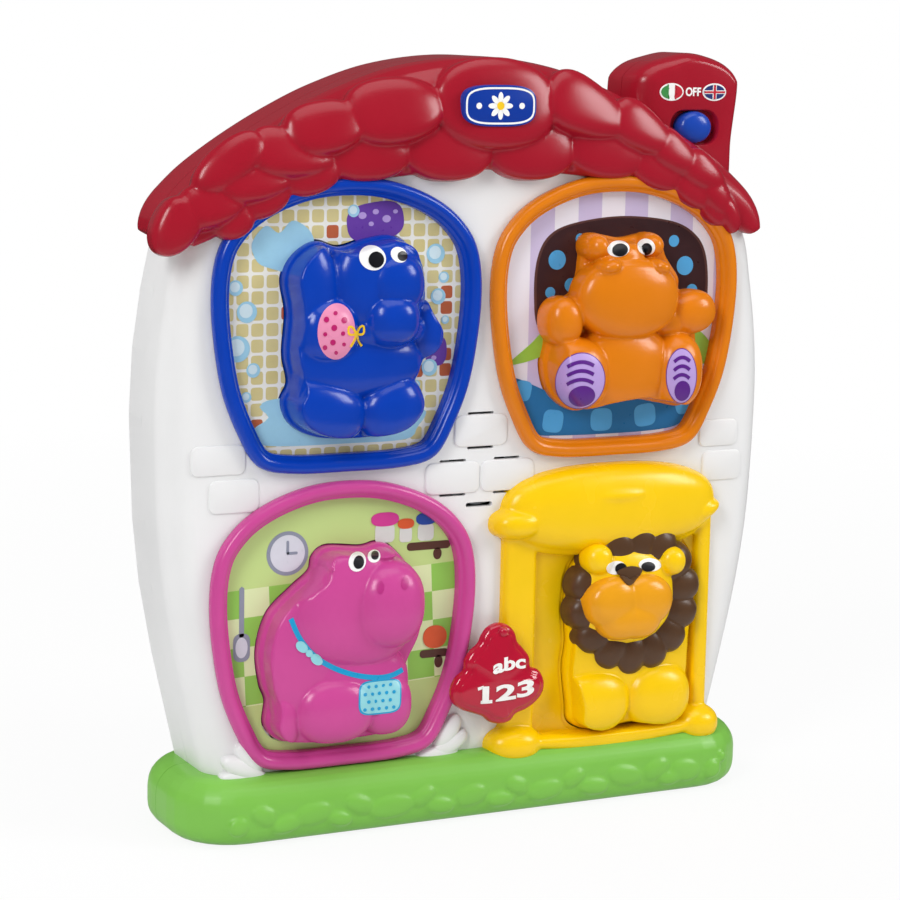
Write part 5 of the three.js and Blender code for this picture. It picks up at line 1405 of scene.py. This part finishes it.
class SHAPESORTER_OT_button(bpy.types.Operator):
    """Builds the red push button with its printed letters"""

    bl_idname = "shape_sorter.button"
    bl_label = "Push Button"

    def execute(self, context):
        outline = smooth_ring([sighted(x, z, -11) for x, z in BUTTON_EDGE], 150)
        levels = [(0, -8.2), (0.05, -9), (-0.1, -9.9), (-0.6, -11), (-1.4, -11.7), (-2.2, -12),
                  (-2.6, -12.1), (-3.0, -12.5), (-3.7, -13), (-4.6, -13.2)]
        rows = [at_depth(grown(outline, grow), depth) for grow, depth in levels]
        inner = grown(outline, levels[-1][0])
        for share, depth in ((0.85, -13.5), (0.65, -13.9), (0.4, -14.2), (0.15, -14.3)):
            rows.append(at_depth(towards(inner, share), depth))
        bm = new_mesh()
        capped(bm, rows)
        lump(bm, *sighted(13.5, 78.6, -13), 2.2, 2.2, -12, -14.4)
        button = piece("push_button_cap", bm, plastic("button"), body="push_button",
                       stands_for=("red_button",), crease=50)
        # The two short lines are the serifs of the 1.
        printed("push_button_letters", "white", surface_of(button),
                [(lettered, "abc", 16.6, 64.4, 6.2, 16, 1.25, 0.7, 0.6),
                 (lettered, "123", 15, 51.6, 7.2, 28, 1.25, 0.5, -0.8),
                 (ribbon, [(2.9, 48.3), (5.7, 48.1), (8.5, 48.1)], 1.4, 1.25, 12),
                 (ribbon, [(1.4, 54.3), (2.8, 54.6), (4.2, 54.9)], 1.3, 1.25, 12)],
                "push_button")
        return {"FINISHED"}


class SHAPESORTER_OT_works(bpy.types.Operator):
    """Gives the screws, electronics and battery box their finishes"""

    bl_idname = "shape_sorter.works"
    bl_label = "Inner Works"

    def execute(self, context):
        # Zinc plate: a grey metal whose reflections are soft from its fine crystals
        steel = moulded("zinc plated steel", linear("#BFC3C8"), 0.32, cloud=2, Metallic=1.0, IOR=1.5)
        dress(steel, *(f"case_screw_{number}" for number in range(1, 7)), "board_screw_1", "board_screw_2",
              "battery_door_screw", "battery_contact_left", "battery_contact_right", "speaker_basket",
              "speaker_magnet", "slide_switch")
        # Silicone: pale and nearly matt, with a wide dim sheen
        dress(moulded("moulded silicone rubber", linear("#D9D9D4"), 0.65, cloud=4),
              "button_dome", "button_lamp")
        # Solder mask: a green lacquer with a half gloss
        dress(moulded("solder masked glass epoxy", linear("#2E6B3A"), 0.4, cloud=5), "circuit_board")
        # Nylon: black and matt, so that only its edges catch light
        dress(moulded("matt moulded nylon black", linear("#1E2023"), 0.5, cloud=4), "blue_piece_sensor",
              "orange_piece_sensor", "pink_piece_sensor", "door_piece_sensor", "speaker_cone")
        # Battery sleeve: a dark printed film with a smooth gloss
        dress(moulded("printed battery sleeve", linear("#3A4A5C"), 0.35, cloud=8),
              *(f"battery_{number}" for number in range(1, 4)))
        return {"FINISHED"}


def paper_sweep():
    """Matt white paper, which takes the shadow of the house and is pure white further away. In gloss and
    through clear plastic it is seen as a white table that ends in the dark."""
    material, tree = fresh_material("matt white paper sweep")
    if tree is None:
        return material
    place = node(tree, "ShaderNodeTexCoord").outputs["Object"]
    away = node(tree, "ShaderNodeVectorMath", {0: place}, operation="LENGTH")
    far = node(tree, "ShaderNodeMapRange", {"Value": away.outputs["Value"], "From Min": 0.35,
                                            "From Max": 1.1, "To Min": 0.9, "To Max": 1.0})
    table = node(tree, "ShaderNodeMapRange", {"Value": away.outputs["Value"], "From Min": 0.25,
                                              "From Max": 0.45, "To Min": 0.6, "To Max": 0.03})
    diffuse = node(tree, "ShaderNodeBsdfDiffuse", {"Color": (0.86, 0.86, 0.86, 1)})
    white = node(tree, "ShaderNodeEmission", {"Color": (1, 1, 1, 1), "Strength": 1.0})
    seen = node(tree, "ShaderNodeMixShader", {0: far.outputs[0], 1: diffuse.outputs[0], 2: white.outputs[0]})
    dim = node(tree, "ShaderNodeEmission", {"Color": (1, 1, 1, 1), "Strength": table.outputs[0]})
    path = node(tree, "ShaderNodeLightPath")
    through = node(tree, "ShaderNodeMath", {0: path.outputs["Is Glossy Ray"],
                                            1: path.outputs["Is Transmission Ray"]}, operation="ADD",
                   use_clamp=True)
    bounced = node(tree, "ShaderNodeMixShader", {0: through.outputs[0], 1: diffuse.outputs[0],
                                                 2: dim.outputs[0]})
    mix = node(tree, "ShaderNodeMixShader", {0: path.outputs["Is Camera Ray"], 1: bounced.outputs[0],
                                             2: seen.outputs[0]})
    node(tree, "ShaderNodeOutputMaterial", {"Surface": mix.outputs[0]})
    return material


def studio_world(ambient):
    """White to the camera and through clear plastic, an even light on matt surfaces, and in gloss a dim
    sweep that is lighter behind the house."""
    world = bpy.data.worlds.new("studio")
    world.use_nodes = True
    tree = world.node_tree
    tree.nodes.clear()
    path = node(tree, "ShaderNodeLightPath")
    behind = node(tree, "ShaderNodeSeparateXYZ", {0: node(tree, "ShaderNodeTexCoord").outputs["Generated"]})
    sweep = node(tree, "ShaderNodeMapRange", {"Value": behind.outputs[1], "From Min": -0.1,
                                              "From Max": 0.3, "To Min": 0.05, "To Max": 0.12})
    glossy = node(tree, "ShaderNodeMath", {0: path.outputs["Is Glossy Ray"], 1: sweep.outputs[0]},
                  operation="MULTIPLY")
    even = node(tree, "ShaderNodeMath", {0: path.outputs["Is Diffuse Ray"], 1: ambient},
                operation="MULTIPLY")
    clear = node(tree, "ShaderNodeMath", {0: path.outputs["Is Camera Ray"],
                                          1: path.outputs["Is Transmission Ray"]}, operation="ADD")
    unlit = node(tree, "ShaderNodeMath", {0: clear.outputs[0], 1: glossy.outputs[0]}, operation="ADD")
    strength = node(tree, "ShaderNodeMath", {0: unlit.outputs[0], 1: even.outputs[0]}, operation="ADD",
                    use_clamp=True)
    sky = node(tree, "ShaderNodeBackground", {"Color": (1, 1, 1, 1), "Strength": strength.outputs[0]})
    node(tree, "ShaderNodeOutputWorld", {"Surface": sky.outputs[0]})
    return world


class SHAPESORTER_OT_stage(bpy.types.Operator):
    """Sets up the pale floor, the soft studio light and the camera"""

    bl_idname = "shape_sorter.stage"
    bl_label = "Studio Stage"

    def execute(self, context):
        scene = context.scene
        studio = scene.shape_sorter_studio
        scene.view_settings.view_transform = "Standard"
        bm = new_mesh()
        bmesh.ops.create_grid(bm, x_segments=2, y_segments=2, size=20)
        mesh = settled("floor", bm)
        mesh.materials.append(paper_sweep())
        floor = placed("floor", mesh)
        scene.world = studio_world(studio.ambient)

        middle = Vector((0, 0.02, 0.17))
        for name, place, size, watts in (
                ("key", (-1.3, -1.0, 1.2), (0.5, 0.9), studio.key_power),
                ("fill", (1.35, -0.95, 1.0), (0.6, 0.8), studio.fill_power),
                ("top", (0.1, -0.35, 1.6), (1.3, 1.0), studio.top_power),
                ("back", (-1.2, 1.3, 1.3), (1.2, 1.0), studio.back_power)):
            data = bpy.data.lights.new(name, "AREA")
            data.shape = "RECTANGLE"
            data.size, data.size_y = size
            data.energy = watts
            lamp = placed(name, data)
            lamp.location = place
            lamp.visible_glossy = name != "back"
            lamp.rotation_euler = (middle - Vector(place)).to_track_quat("-Z", "Y").to_euler()

        data = bpy.data.cameras.new("camera")
        data.sensor_width = SENSOR_WIDTH
        data.lens = LENS_LENGTH
        camera = placed("camera", data)
        back = Vector(CAMERA_BACK).normalized()
        up = back.cross(Vector(CAMERA_RIGHT).normalized()).normalized()
        turn = Matrix((up.cross(back), up, back)).transposed().to_4x4()
        camera.matrix_world = Matrix.Translation(EYE) @ turn
        scene.camera = camera
        return {"FINISHED"}


PIECES = (
    SHAPESORTER_OT_house, SHAPESORTER_OT_frames, SHAPESORTER_OT_cards, SHAPESORTER_OT_roof,
    SHAPESORTER_OT_badge, SHAPESORTER_OT_chimney, SHAPESORTER_OT_base, SHAPESORTER_OT_doorway,
    SHAPESORTER_OT_elephant, SHAPESORTER_OT_sitting_hippo, SHAPESORTER_OT_standing_hippo,
    SHAPESORTER_OT_lion, SHAPESORTER_OT_button, SHAPESORTER_OT_works, SHAPESORTER_OT_stage,
)


class SHAPESORTER_PT_panel(bpy.types.Panel):
    """Lists the sizes, colours and pieces of the shape sorter"""

    bl_idname = "SHAPESORTER_PT_panel"
    bl_label = "Shape Sorter"
    bl_space_type = "VIEW_3D"
    bl_region_type = "UI"
    bl_category = "Shape Sorter"

    def draw(self, context):
        scene = context.scene
        for settings in (scene.shape_sorter_sizes, scene.shape_sorter_colours, scene.shape_sorter_studio):
            box = self.layout.box()
            for name in settings.__annotations__:
                box.prop(settings, name)
        for operator in PIECES:
            self.layout.operator(operator.bl_idname)


SETTINGS = (
    ("shape_sorter_sizes", ShapeSorterSizes), ("shape_sorter_colours", ShapeSorterColours),
    ("shape_sorter_studio", ShapeSorterStudio),
)


def register():
    """Registers the settings, the operators and the panel."""
    for name, group in SETTINGS:
        bpy.utils.register_class(group)
        setattr(bpy.types.Scene, name, PointerProperty(type=group))
    for operator in PIECES:
        bpy.utils.register_class(operator)
    bpy.utils.register_class(SHAPESORTER_PT_panel)


def unregister():
    """Takes them away again."""
    bpy.utils.unregister_class(SHAPESORTER_PT_panel)
    for operator in reversed(PIECES):
        bpy.utils.unregister_class(operator)
    for name, group in reversed(SETTINGS):
        delattr(bpy.types.Scene, name)
        bpy.utils.unregister_class(group)


def main():
    """Builds every piece in order."""
    register()
    for operator in PIECES:
        getattr(bpy.ops.shape_sorter, operator.bl_idname.split(".")[1])()


if __name__ == "__main__":
    main()
